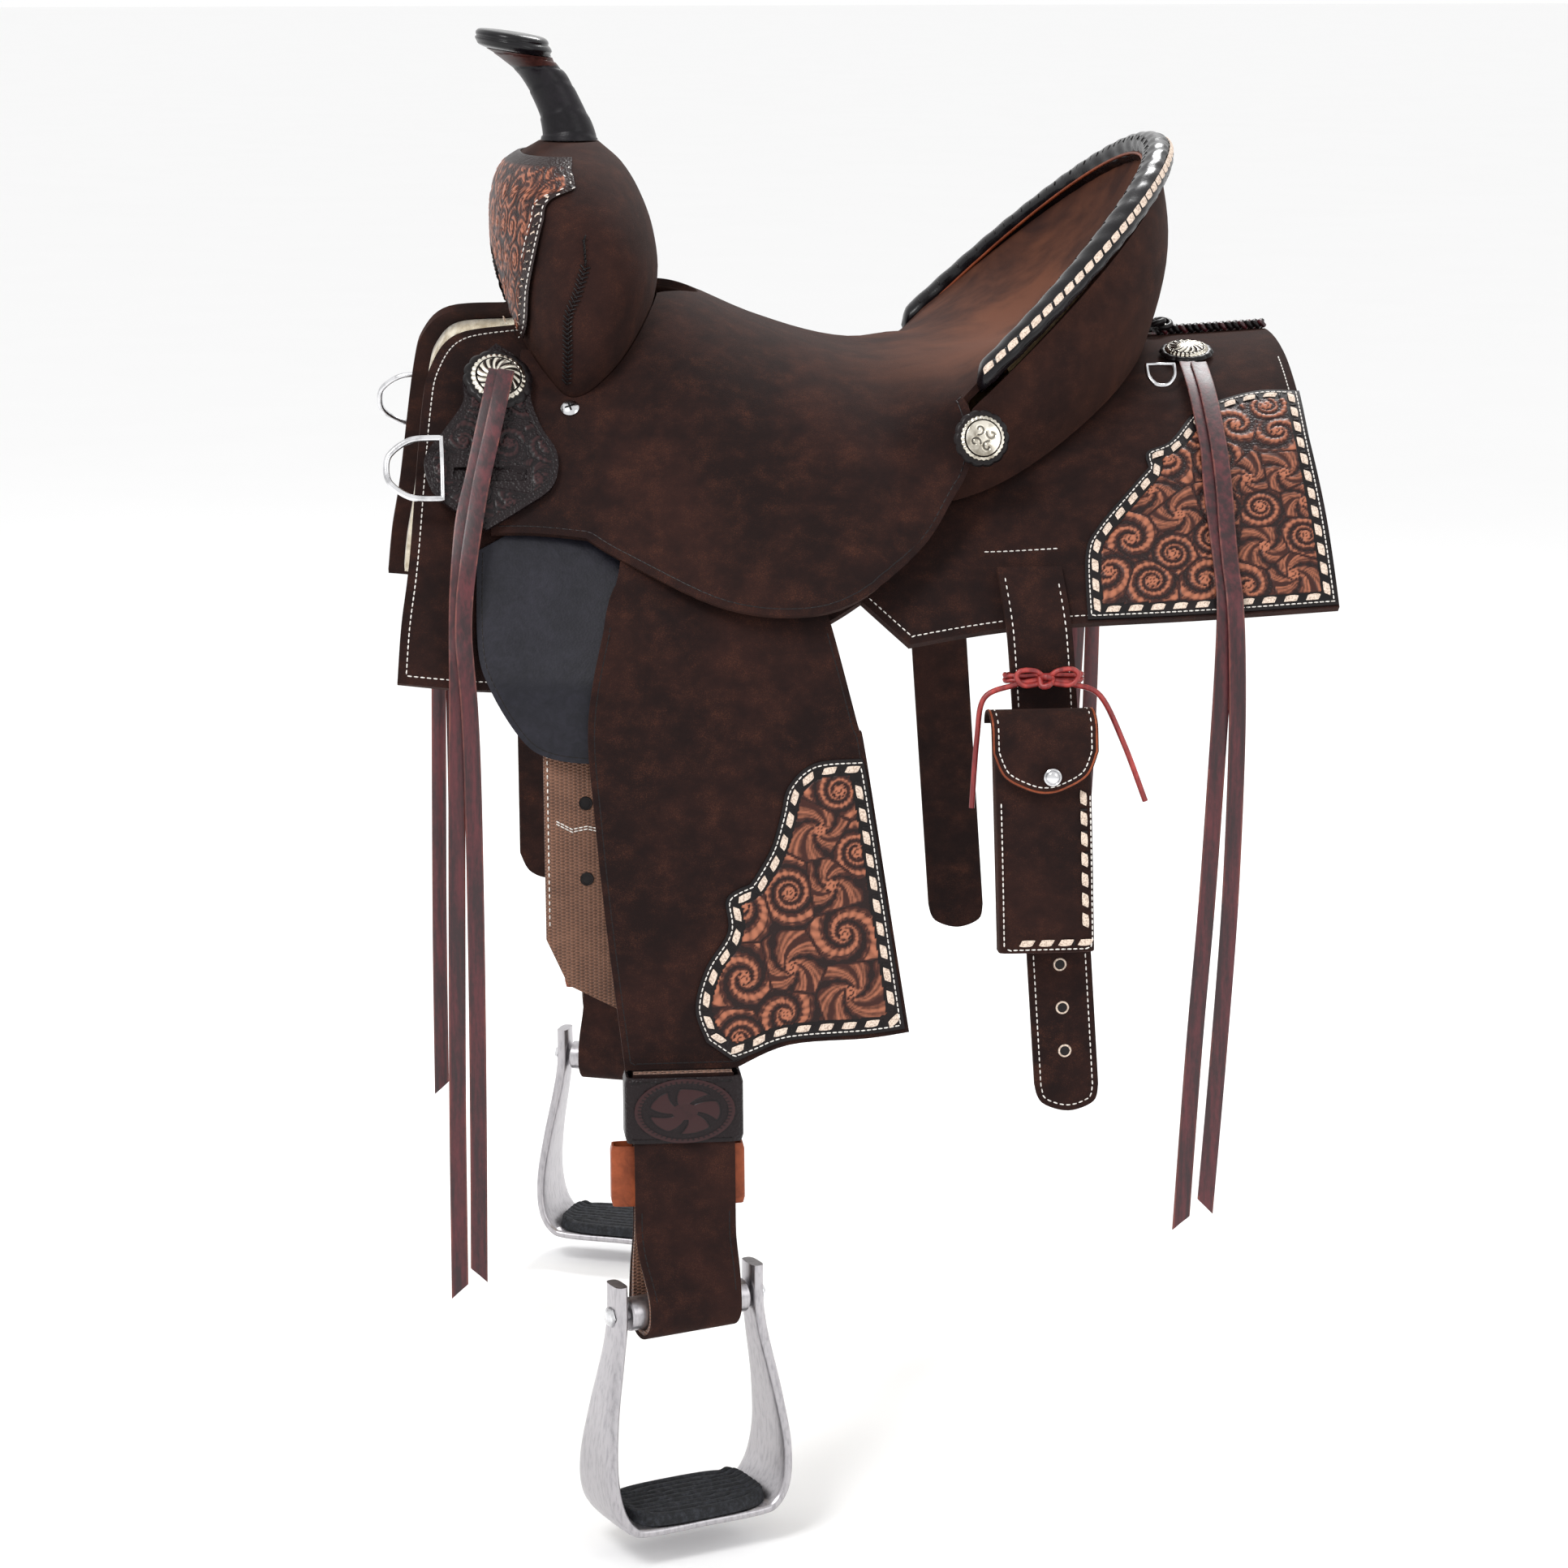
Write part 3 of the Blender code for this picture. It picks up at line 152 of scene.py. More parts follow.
def curve_through(rows, x):
    spot = max(0, min(len(rows) - 2, sum(row[0] <= x for row in rows) - 1))
    low, high = rows[spot], rows[spot + 1]
    before, after = rows[max(spot - 1, 0)], rows[min(spot + 2, len(rows) - 1)]
    width = high[0] - low[0]
    t = (x - low[0]) / width
    values = []
    for i in range(1, len(low)):
        slope_low = (high[i] - before[i]) / (high[0] - before[0]) * width
        slope_high = (after[i] - low[i]) / (after[0] - low[0]) * width
        if t < 0:
            values.append(low[i] + slope_low * t)
        elif t > 1:
            values.append(high[i] + slope_high * (t - 1))
        else:
            values.append(low[i] * (1 + 2 * t) * (1 - t) ** 2 + slope_low * t * (1 - t) ** 2
                          + high[i] * t * t * (3 - 2 * t) + slope_high * t * t * (t - 1))
    return values


def smooth_step(low, high, x):
    t = min(1.0, max(0.0, (x - low) / (high - low)))
    return t * t * (3 - 2 * t)


def skirt_height(x, y):
    ridge, edge_z, edge_y = curve_through(SKIRT_STATIONS, x)
    return ridge - (ridge - edge_z) * (abs(y) / edge_y) ** SKIRT_ROUND


def seat_height(x, y):
    middle, power, edge_z, edge_y = curve_through(SEAT_STATIONS, min(x, SEAT_STATIONS[-1][0]))
    side = middle - (middle - edge_z) * (abs(y) / edge_y) ** power
    back = max(0.0, (x - ROLL_X) / ROLL_DEEP)
    reach = math.hypot(back, y / ROLL_WIDE)
    roll_z = ROLL_Z + ROLL_RISE * (back / reach if reach > 1e-9 else 0.0)
    centre = SEAT_STATIONS[-1][1]
    dish = centre + (roll_z - centre) * reach**2.6
    part = smooth_step(0.045, 0.125, x) * (1 - smooth_step(0.985, 1.06, reach))
    return side * (1 - part) + dish * part


class Surface:
    """A height surface unrolled across the saddle: points are (x, distance from the centre along it)."""

    def __init__(self, height, x_low, x_high, rows=46, reach=0.29, steps=116):
        self.height, self.x_low, self.x_step = height, x_low, (x_high - x_low) / rows
        self.y_step, self.table = reach / steps, []
        for row in range(rows + 2):
            x, run, line = x_low + row * self.x_step, 0.0, [0.0]
            z = height(x, 0)
            for k in range(1, steps + 1):
                higher = height(x, k * self.y_step)
                run += math.hypot(self.y_step, higher - z)
                z = higher
                line.append(run)
            self.table.append(line)

    def _line(self, x):
        spot = min(max((x - self.x_low) / self.x_step, 0), len(self.table) - 1.001)
        row = int(spot)
        return self.table[row], self.table[row + 1], spot - row

    def run(self, x, y):
        a, b, t = self._line(x)
        spot = min(abs(y) / self.y_step, len(a) - 1.001)
        k = int(spot)
        mix = lambda line: line[k] + (line[k + 1] - line[k]) * (spot - k)
        return math.copysign(mix(a) * (1 - t) + mix(b) * t, y)

    def half(self, x, run):
        low, high = 0.0, self.y_step * (len(self.table[0]) - 1.01)
        for _ in range(22):
            middle = (low + high) / 2
            if self.run(x, middle) > abs(run):
                high = middle
            else:
                low = middle
        return math.copysign(low, run)

    def point(self, x, y, lift):
        step = 1e-4
        z = self.height(x, y)
        slope_x = (self.height(x + step, y) - z) / step
        slope_y = (self.height(x, y + step) - z) / step
        return Vector((x, y, z)) + Vector((-slope_x, -slope_y, 1)).normalized() * lift

    def at(self, lift):
        return lambda x, run: self.point(x, self.half(x, run), lift)

    def seen(self, points, lift=0.0):
        """Unrolled places, on the near side, of points given by x and z as seen from the side."""
        found = []
        for x, z in points:
            at_x = x
            for _ in range(2):
                high, low = -0.002, -0.288
                for _ in range(22):
                    middle = (high + low) / 2
                    if self.point(at_x, middle, lift).z > z:
                        high = middle
                    else:
                        low = middle
                at_x += x - self.point(at_x, high, lift).x
            found.append((at_x, self.run(at_x, high)))
        return found


SKIRTS = Surface(skirt_height, -0.285, 0.350)
SEAT = Surface(seat_height, -0.220, 0.262)


def beside(line, lift, lean=0.0):
    """Hanging sheets: (x, z) to a point whose half-width follows a line of (z, y)."""
    flip = [(-row[0], row[1]) for row in line]

    def place(x, z):
        step = 1e-4
        y = -curve_through(flip, -z)[0]
        slope = (-curve_through(flip, -z + step)[0] - y) / -step
        out = Vector((0, -1, slope)).normalized()
        return Vector((x - lean * (z - line[0][0]), y, z)) + out * lift

    return place


def roll_centre(angle):
    return Vector((ROLL_X + ROLL_DEEP * math.sin(angle), -ROLL_WIDE * math.cos(angle),
                   ROLL_Z + ROLL_RISE * math.sin(angle)))


def swell_point(angle, z, grow=0.0):
    """A point on the swell: 0 is behind, pi the front and 1.5 pi the near side."""
    front, back, half = curve_through(SWELL_STATIONS, z)
    deep = (back - front) / 2 + grow
    c, s = math.cos(angle), math.sin(angle)
    size = (abs(c) ** SWELL_POWER + abs(s) ** SWELL_POWER) ** (-1 / SWELL_POWER)
    lean = 0.006 * s * s * smooth_step(0.16, 0.06, z) if z < 0.16 else 0.0
    return Vector(((front + back) / 2 + deep * size * c - lean, (half + grow) * size * s, z))


# ------------------------------------------------------------------ shader maths
class Sum:
    """A shader socket that adds Math nodes when it is used in an expression."""

    def __init__(self, finish, socket):
        self.finish, self.socket = finish, socket

    def math(self, operation, *others, clamp=False):
        node = self.finish.node("ShaderNodeMath", {"operation": operation, "use_clamp": clamp},
                                dict(enumerate([self, *others])))
        return Sum(self.finish, node.outputs[0])

    def __add__(self, other):
        return self.math("ADD", other)

    def __mul__(self, other):
        return self.math("MULTIPLY", other)

    def __sub__(self, other):
        return self.math("SUBTRACT", other)

    def __rsub__(self, other):
        return self * -1 + other

    __radd__, __rmul__ = __add__, __mul__

    def ramp(self, low, high):
        """0 below low, 1 above high, smooth between."""
        node = self.finish.node("ShaderNodeMapRange", {"interpolation_type": "SMOOTHSTEP"},
                                {"Value": self, "From Min": low, "From Max": high})
        return Sum(self.finish, node.outputs[0])

    def sine(self):
        return self.math("SINE")


class Finish:
    """A procedural material, built up from nodes around one Principled shader."""

    def __init__(self, name, **shader):
        self.material = bpy.data.materials.new(name)
        self.material.use_nodes = True
        self.tree = self.material.node_tree
        self.shader = self.tree.nodes["Principled BSDF"]
        for socket, value in shader.items():
            self.set(self.shader, socket.replace("_", " ").title().replace("Ior", "IOR"), value)
        self.coordinates = self.node("ShaderNodeTexCoord", {}, {})

    def set(self, node, socket, value):
        target = node.inputs[socket]
        if isinstance(value, Sum):
            self.tree.links.new(value.socket, target)
        elif isinstance(value, bpy.types.NodeSocket):
            self.tree.links.new(value, target)
        elif isinstance(value, tuple) and len(value) == 3 and target.type == "RGBA":
            target.default_value = (*value, 1.0)
        else:
            target.default_value = value

    def node(self, kind, settings, inputs):
        node = self.tree.nodes.new(kind)
        for key, value in settings.items():
            setattr(node, key, value)
        for socket, value in inputs.items():
            self.set(node, socket, value)
        return node

    def place(self, stretch=(1, 1, 1)):
        where = self.coordinates.outputs["Object"]
        return self.node("ShaderNodeMapping", {}, {"Vector": where, "Scale": stretch}).outputs[0]

    def noise(self, scale, detail=3.0, rough=0.55, stretch=(1, 1, 1), distortion=0.0):
        node = self.node("ShaderNodeTexNoise", {}, {"Vector": self.place(stretch), "Scale": scale,
                                                    "Detail": detail, "Roughness": rough,
                                                    "Distortion": distortion})
        return Sum(self, node.outputs["Fac"])

    def cells(self, scale, feature="F1"):
        node = self.node("ShaderNodeTexVoronoi", {"feature": feature},
                         {"Vector": self.place(), "Scale": scale})
        return Sum(self, node.outputs["Distance"])

    def axis(self, name, source="Object"):
        node = self.node("ShaderNodeSeparateXYZ", {}, {0: self.coordinates.outputs[source]})
        return Sum(self, node.outputs[name])

    def attribute(self, name):
        return Sum(self, self.node("ShaderNodeAttribute", {"attribute_name": name}, {}).outputs["Fac"])

    def mix(self, first, second, factor):
        node = self.node("ShaderNodeMix", {"data_type": "RGBA"}, {0: factor, 6: first, 7: second})
        return node.outputs[2]

    def colour(self, value):
        self.set(self.shader, "Base Color", value)
        return self

    def bump(self, height, strength, distance):
        node = self.node("ShaderNodeBump", {}, {"Height": height, "Strength": strength, "Distance": distance})
        self.set(self.shader, "Normal", node.outputs[0])
        return self

    def rough(self, value):
        self.set(self.shader, "Roughness", value)
        return self


def srgb(red, green, blue):
    shares = (red / 255, green / 255, blue / 255)
    return tuple(c / 12.92 if c < 0.0404 else ((c + 0.055) / 1.055) ** 2.4 for c in shares)


def rough_out(name, dark, mid, light):
    """Suede-like flesh side: brushed nap in broad patches over a fine fibre."""
    f = Finish(name, roughness=0.92, sheen_weight=0.22, sheen_roughness=0.45, sheen_tint=(*light, 1.0),
               specular_ior_level=0.2)
    patches = f.noise(11, 4, 0.6, distortion=0.6)
    brushed = f.noise(60, 3, 0.6, (1, 1, 1.2))
    fibre = f.noise(1500, 2, 0.7)
    base = f.mix(dark, mid, (patches * 0.65 + brushed * 0.35).ramp(0.36, 0.66))
    base = f.mix(base, f.mix(mid, light, patches.ramp(0.3, 0.7)), f.attribute("tone"))
    f.colour(f.mix(base, light, (fibre * 0.6 + brushed * 0.4).ramp(0.5, 0.78) * 0.5))
    return f.bump(fibre * 0.8 + brushed * 0.5 + patches * 0.4, 0.55, 0.0005)


def smooth_leather(name, dark, light, roughness=0.34, coat=0.0, pores=700):
    f = Finish(name, coat_weight=coat, coat_roughness=0.2, specular_ior_level=0.22)
    tone = f.noise(26, 4, 0.6)
    grain = f.cells(pores, "SMOOTH_F1")
    crease = f.noise(120, 3, 0.65, distortion=1.2)
    f.colour(f.mix(dark, light, (tone * 0.6 + crease * 0.4).ramp(0.35, 0.7)))
    f.rough((tone * 0.22 + crease * 0.1) + (roughness - 0.14))
    return f.bump(grain * 0.45 + crease * 0.35, 0.35, 0.0004)


def tooled_leather(name, ground, hollow, crown, roughness=0.42):
    """Carved leather: its relief carries a tone from hollows to crowns over a stippled ground."""
    f = Finish(name, coat_weight=0.04, coat_roughness=0.25, specular_ior_level=0.2)
    tone = f.attribute("tone")
    wear = f.noise(240, 4, 0.6)
    carved = f.mix(hollow, crown, (tone + wear * 0.5 - 0.25).ramp(0.30, 1.0))
    f.colour(f.mix(ground, carved, tone.ramp(0.01, 0.12)))
    f.rough(tone * -0.08 + wear * 0.2 + (roughness - 0.06))
    stipple = f.cells(620, "SMOOTH_F1")
    flat = 1 - tone.ramp(0.01, 0.2)
    return f.bump(stipple * flat * 1.4 + wear * 0.3, 0.8, 0.0006)


def thread(name, colour, shade):
    f = Finish(name, roughness=0.6)
    twist = f.noise(900, 2, 0.5)
    f.colour(f.mix(shade, colour, twist.ramp(0.3, 0.6)))
    return f.bump(twist, 0.4, 0.0003)


def thong_leather(name, dark, light):
    """Waxed thong: streaks run its length."""
    f = Finish(name, coat_weight=0.08, coat_roughness=0.35)
    streak = f.noise(30, 4, 0.6, (6, 6, 0.5))
    grain = f.noise(500, 3, 0.6, (1, 1, 0.4))
    f.colour(f.mix(dark, light, (streak * 0.75 + grain * 0.25).ramp(0.38, 0.68)))
    f.rough(streak * 0.2 + 0.3)
    return f.bump(grain * 0.6 + streak * 0.4, 0.3, 0.0004)


def woven(name, dark, light, warp, weft):
    """Nylon webbing: ribs across and yarns along, on the piece's own UV in metres."""
    f = Finish(name, roughness=0.75, sheen_weight=0.3, sheen_roughness=0.4)
    u, v = f.axis("X", "UV"), f.axis("Y", "UV")
    along = (u * (2 * math.pi / warp)).sine()
    across = (v * (2 * math.pi / weft) + (u * (math.pi / warp)).sine().ramp(-0.2, 0.2) * math.pi).sine()
    wear = f.noise(55, 3, 0.6)
    height = along * 0.35 + across * 0.65
    # colour follows the weave's height: grooves painted darker as shade and crests lighter as light; the wear
    # noise adds a random tone
    f.colour(f.mix(dark, light, (height * 0.35 + wear * 0.8).ramp(0.0, 0.75)))
    return f.bump(height, 0.9, 0.0007)


def metal(name, dark, light, roughness, engraved=False, brushed=(1, 1, 1), scale=90):
    f = Finish(name, metallic=1.0)
    smear = f.noise(scale, 3, 0.6, brushed)
    base = f.mix(dark, light, smear.ramp(0.25, 0.6))
    height = smear * 0.3
    if engraved:
        tone = f.attribute("tone")
        base = f.mix(srgb(40, 36, 34), base, tone.ramp(0.05, 0.45))
        height = height + tone * 0.5
    f.colour(base)
    f.rough(smear * 0.18 + (roughness - 0.09))
    return f.bump(height, 0.3, 0.0004)


def rubber_pad(name):
    f = Finish(name, roughness=0.82, specular_ior_level=0.35)
    dust = f.noise(300, 4, 0.7)
    f.colour(f.mix(srgb(22, 23, 26), srgb(48, 50, 56), dust.ramp(0.4, 0.75)))
    return f.bump(dust, 0.08, 0.0003)


def wool(name):
    f = Finish(name, roughness=1.0, sheen_weight=0.5, sheen_roughness=0.6)
    curl = f.cells(170, "SMOOTH_F1")
    tuft = f.noise(70, 4, 0.7)
    fibre = f.noise(900, 3, 0.7)
    fluff = (tuft * 0.6 + curl * 0.5 + fibre * 0.2).ramp(0.4, 0.8)
    f.colour(f.mix(srgb(176, 160, 132), srgb(232, 221, 198), fluff))
    return f.bump(curl * -0.8 + fibre * 0.5 + tuft * 0.5, 1.0, 0.002)


def rawhide(name):
    f = Finish(name, roughness=0.45)
    mottle = f.noise(40, 4, 0.6)
    f.colour(f.mix(srgb(150, 118, 74), srgb(205, 178, 130), mottle.ramp(0.3, 0.7)))
    return f.bump(mottle, 0.4, 0.001)


FINISH = {
    "rough": rough_out("rough_out", srgb(24, 12, 11), srgb(42, 22, 18), srgb(96, 56, 38)),
    # burnished edges and cut walls; also the dark discs of the punched holes, which are painted shade
    "edge": smooth_leather("burnished_edge_and_hole_shade", srgb(14, 11, 12), srgb(38, 30, 30), 0.38),
    "roll": smooth_leather("binding_leather", srgb(7, 6, 8), srgb(20, 17, 22), 0.24, 0.16, 500),
    "horn": smooth_leather("horn_leather", srgb(13, 11, 15), srgb(31, 26, 32), 0.36),
    "horn_under": smooth_leather("horn_under_leather", srgb(42, 22, 20), srgb(84, 42, 36), 0.4),
    "flap": smooth_leather("rigging_leather", srgb(20, 20, 27), srgb(35, 34, 43), 0.42, 0.04),
    # black border leather; also the slit beads beside the laces, which are painted shade
    "black": smooth_leather("border_leather_and_slit_shade", srgb(10, 7, 8), srgb(26, 18, 19), 0.36, 0.04),
    "tooled": tooled_leather("carved_leather", srgb(34, 20, 19), srgb(58, 30, 25), srgb(168, 104, 78)),
    "plain_tool": tooled_leather("dark_carved_leather", srgb(24, 15, 17), srgb(16, 10, 12),
                                 srgb(52, 30, 31), 0.36),
    "thread": thread("white_thread", srgb(240, 236, 230), srgb(190, 182, 174)),
    "lace": thread("buckstitch_lace", srgb(222, 203, 186), srgb(168, 146, 130)),
    "string": thong_leather("burgundy_thong", srgb(38, 11, 17), srgb(84, 27, 34)),
    "string_edge": thong_leather("thong_cut_edge", srgb(64, 26, 26), srgb(116, 58, 50)),
    "thong": thong_leather("red_thong", srgb(112, 28, 30), srgb(176, 60, 54)),
    "webbing": woven("brown_webbing", srgb(84, 54, 40), srgb(142, 100, 78), 0.0030, 0.0022),
    "sleeve": smooth_leather("orange_sleeve", srgb(104, 48, 27), srgb(152, 76, 44), 0.4),
    "silver": metal("engraved_silver", srgb(150, 142, 128), srgb(236, 230, 216), 0.2, True),
    "steel": metal("polished_ring", srgb(170, 170, 172), srgb(226, 226, 228), 0.2),
    "aluminium": metal("cast_aluminium", srgb(160, 157, 161), srgb(184, 181, 184), 0.34, False,
                       (1, 1, 0.25), 420),
    "rubber": rubber_pad("tread_rubber"),
    "wool": wool("fleece_wool"),
    "rawhide": rawhide("rawhide_tree"),
}


# ------------------------------------------------------------------ pieces
def points_in(result):
    return [part for part in result["geom"] if isinstance(part, bmesh.types.BMVert)]


def new_piece():
    bm = bmesh.new()
    bm.loops.layers.uv.new("UVMap")
    bm.verts.layers.float.new("edge")
    bm.verts.layers.float.new("tone")
    return bm


def turn_out(bm, merge=1e-5):
    bmesh.ops.remove_doubles(bm, verts=bm.verts, dist=merge)
    bmesh.ops.recalc_face_normals(bm, faces=bm.faces)


def finished(name, bm, body, finishes, replaces=(), sharp=42, twin=True):
    """Makes the object, rides it on its body, and mirrors it to the off side when its name says left."""
    mesh = bpy.data.meshes.new(name)
    bm.to_mesh(mesh)
    bm.free()
    return dress(name, mesh, body, finishes, replaces, sharp, twin)


def dress(name, mesh, body, finishes, replaces=(), sharp=42, twin=True):
    slots = [polygon.material_index for polygon in mesh.polygons]
    mesh.materials.clear()
    for finish in finishes:
        mesh.materials.append(FINISH[finish].material)
    mesh.polygons.foreach_set("material_index", slots)
    mesh.shade_smooth()
    mesh.set_sharp_from_angle(angle=math.radians(sharp))
    obj = bpy.data.objects.new(name, mesh)
    bpy.context.scene.collection.objects.link(obj)
    if body:
        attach(obj, body)
    if replaces:
        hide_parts(*replaces)
    made = [obj]
    if twin and name.endswith("_left"):
        flipped = mesh.copy()
        flipped.transform(Matrix.Scale(-1, 4, (0, 1, 0)))
        flipped.flip_normals()
        other = lambda text: text.replace("_left", "_right")
        made += dress(other(name), flipped, other(body) if body else None, finishes,
                      [other(node) for node in replaces], sharp, False)
    return made


def grid(bm, columns, rows, shape, tone=None):
    """A bmesh grid whose corner-to-corner place (0 to 1 each way) is given a point by shape."""
    made = bmesh.ops.create_grid(bm, x_segments=columns, y_segments=rows, size=0.5)["verts"]
    uv, shade = bm.loops.layers.uv.verify(), bm.verts.layers.float.get("tone")
    spots = {v: (v.co.x + 0.5, v.co.y + 0.5) for v in made}
    for face in {face for v in made for face in v.link_faces}:
        for loop in face.loops:
            loop[uv].uv = spots[loop.vert]
    for v, (a, b) in spots.items():
        v.co = shape(a, b)
        if tone and shade:
            v[shade] = tone(a, b)
    return made


def laid(bm, loop, outer, inner, cell, rim=0.0018, edge_index=1, tone=0.0):
    """A closed sheet with a rounded rim: an outline inset twice, cut into cells and laid between two maps."""
    edge, shade = bm.verts.layers.float.get("edge"), bm.verts.layers.float.get("tone")
    uv = bm.loops.layers.uv.verify()
    face = bm.faces.new([bm.verts.new((u, v, 0)) for u, v in loop])
    face.normal_update()
    if face.normal.z < 0:
        face.normal_flip()
    for level, share in ((1.0, 0.35), (2.0, 0.65)):
        if rim:
            bmesh.ops.inset_region(bm, faces=[face], thickness=rim * share, use_even_offset=True)
        for v in face.verts:
            v[edge] = level
    for axis in range(2):
        values = [point[axis] for point in loop]
        normal = Vector((1, 0, 0)) if axis == 0 else Vector((0, 1, 0))
        for k in range(math.ceil(min(values) / cell[axis]), math.floor(max(values) / cell[axis]) + 1):
            bmesh.ops.bisect_plane(bm, geom=bm.verts[:] + bm.edges[:] + bm.faces[:], dist=2e-5,
                                   plane_co=normal * k * cell[axis], plane_no=normal)
    bmesh.ops.triangulate(bm, faces=[f for f in bm.faces if len(f.verts) > 4])
    extruded = bmesh.ops.extrude_face_region(bm, geom=bm.faces[:], use_keep_orig=True)
    under = set(points_in(extruded))
    for f in bm.faces:
        f.material_index = edge_index if min(v[edge] for v in f.verts) < 0.99 else 0
        for corner in f.loops:
            corner[uv].uv = corner.vert.co.xy
    for v in bm.verts:
        u, w = v.co.x, v.co.y
        over, back, drop = outer(u, w), inner(u, w), max(0.0, 1 - v[edge] / 2) ** 2.2
        v.co = back.lerp(over, 0.22 * drop) if v in under else over.lerp(back, 0.42 * drop)
        v[shade] = tone
    turn_out(bm)
    return bm


def inset_line(loop, distance):
    """A closed outline moved inward by a distance, without the loops that corners would make."""
    area = sum(a[0] * b[1] - b[0] * a[1] for a, b in zip(loop, loop[1:] + loop[:1]))
    side = 1 if area > 0 else -1
    line = spaced(loop + loop[:1], 0.0025)
    moved = [(p[0] - t[1] * side * distance, p[1] + t[0] * side * distance) for p, t in line]
    away = lambda p: min(math.hypot(p[0] - q[0], p[1] - q[1]) for q, _ in line)
    return [p for p in moved if away(p) > distance * 0.93]


def spaced(points, step):
    """Evenly spaced places along a polyline, with the direction at each."""
    total = sum(math.dist(a, b) for a, b in zip(points, points[1:]))
    count = max(1, round(total / step))
    found, run, goal = [], 0.0, 0.0
    for a, b in zip(points, points[1:]):
        length = math.dist(a, b)
        if length < 1e-9:
            continue
        way = tuple((q - p) / length for p, q in zip(a, b))
        while goal <= run + length + 1e-9 and len(found) < count:
            found.append((tuple(p + w * (goal - run) for p, w in zip(a, way)), way))
            goal += total / count
        run += length
    return found


def standing(place, u, v, way):
    """A matrix on a mapped surface: X along a direction of the map, Z off the surface."""
    step = 4e-4
    here = place(u, v)
    x = (place(u + way[0] * step, v + way[1] * step) - here).normalized()
    y = (place(u - way[1] * step, v + way[0] * step) - here).normalized()
    z = x.cross(y).normalized()
    y = z.cross(x)
    return Matrix.Translation(here) @ Matrix((x, y, z)).transposed().to_4x4()


def bead_shape(long, wide, tall, slant=0.0, segments=6, rings=4):
    """A template mesh for one stitch: a flattened bead along X."""
    bm = bmesh.new()
    bmesh.ops.create_uvsphere(bm, u_segments=segments, v_segments=rings, radius=0.5)
    bmesh.ops.transform(bm, matrix=Matrix.Rotation(math.pi / 2, 4, "Y"), verts=bm.verts)
    for v in bm.verts:
        v.co.x = math.copysign(abs(2 * v.co.x) ** 0.6 / 2, v.co.x)
        v.co = Vector((v.co.x * long + v.co.y * wide * slant, v.co.y * wide, v.co.z * tall))
    mesh = bpy.data.meshes.new("bead_template")
    bm.to_mesh(mesh)
    bm.free()
    return mesh


def lace_shape(long, wide, tall, slant):
    """One buckstitch: a flat lace that rises from one slit and dives into the next."""
    bm = bmesh.new()
    bmesh.ops.create_grid(bm, x_segments=6, y_segments=3, size=0.5)
    bmesh.ops.solidify(bm, geom=bm.faces[:], thickness=0.35)
    for v in bm.verts:
        arch = math.cos(math.pi * min(0.5, abs(v.co.x)) * 0.98) ** 0.5
        crown = 1 - 0.35 * (2 * abs(v.co.y)) ** 2
        pinch = 1 - 0.18 * (2 * abs(v.co.x)) ** 3
        v.co = Vector((v.co.x * long + v.co.y * wide * slant, v.co.y * wide * pinch,
                       (arch * crown + v.co.z * 0.8) * tall))
    bmesh.ops.recalc_face_normals(bm, faces=bm.faces)
    mesh = bpy.data.meshes.new("lace_template")
    bm.to_mesh(mesh)
    bm.free()
    return mesh


THREAD = bead_shape(0.0031, 0.0010, 0.0011)
LACE = lace_shape(0.0086, 0.0044, 0.0013, 0.45)
# a dark bead across a lace line: painted shade standing in for the open slit the lace passes through
SLIT = bead_shape(0.0016, 0.0052, 0.0007)


def stamped(bm, template, matrices, index=0):
    start = len(bm.faces)
    for matrix in matrices:
        before = len(bm.verts)
        bm.from_mesh(template)
        bm.verts.ensure_lookup_table()
        bmesh.ops.transform(bm, matrix=matrix, verts=bm.verts[before:])
    bm.faces.ensure_lookup_table()
    for face in bm.faces[start:]:
        face.material_index = index
    return bm


def sewn(name, body, rows, twin=True):
    """Stitches in one object. Each row is a template, a map, a line in it, a step, and a finish index."""
    bm = new_piece()
    for template, place, line, step, index in rows:
        stamped(bm, template, [standing(place, *p, way) for p, way in spaced(line, step)], index)
    return finished(name, bm, body, ["thread", "lace", "black"], twin=twin, sharp=60)


def ring_bm(sections):
    """A closed solid through sections, each a list of points, with its ends filled."""
    bm = new_piece()
    count, rows = len(sections[0]), len(sections)

    def shape(a, b):
        return sections[min(rows - 1, round(b * (rows - 1)))][round(a * count) % count]

    grid(bm, count, rows - 1, shape)
    bmesh.ops.remove_doubles(bm, verts=bm.verts, dist=1e-5)
    bmesh.ops.holes_fill(bm, edges=[e for e in bm.edges if e.is_boundary], sides=0)
    turn_out(bm)
    return bm


def cut(obj, *cutters, finish="edge"):
    """Boolean difference, with the cut faces in a finish of their own."""
    for cutter in cutters:
        cutter.data.materials.clear()
        cutter.data.materials.append(FINISH[finish].material)
        modifier = obj.modifiers.new("cut", "BOOLEAN")
        modifier.operation, modifier.object, modifier.material_mode = "DIFFERENCE", cutter, "TRANSFER"
    graph = bpy.context.evaluated_depsgraph_get()
    mesh = bpy.data.meshes.new_from_object(obj.evaluated_get(graph))
    obj.modifiers.clear()
    for cutter in cutters:
        bpy.data.objects.remove(cutter)
    return mesh


def loose(name, bm, finish="edge"):
    mesh = bpy.data.meshes.new(name)
    bm.to_mesh(mesh)
    bm.free()
    mesh.materials.append(FINISH[finish].material)
    obj = bpy.data.objects.new(name, mesh)
    bpy.context.scene.collection.objects.link(obj)
    return obj


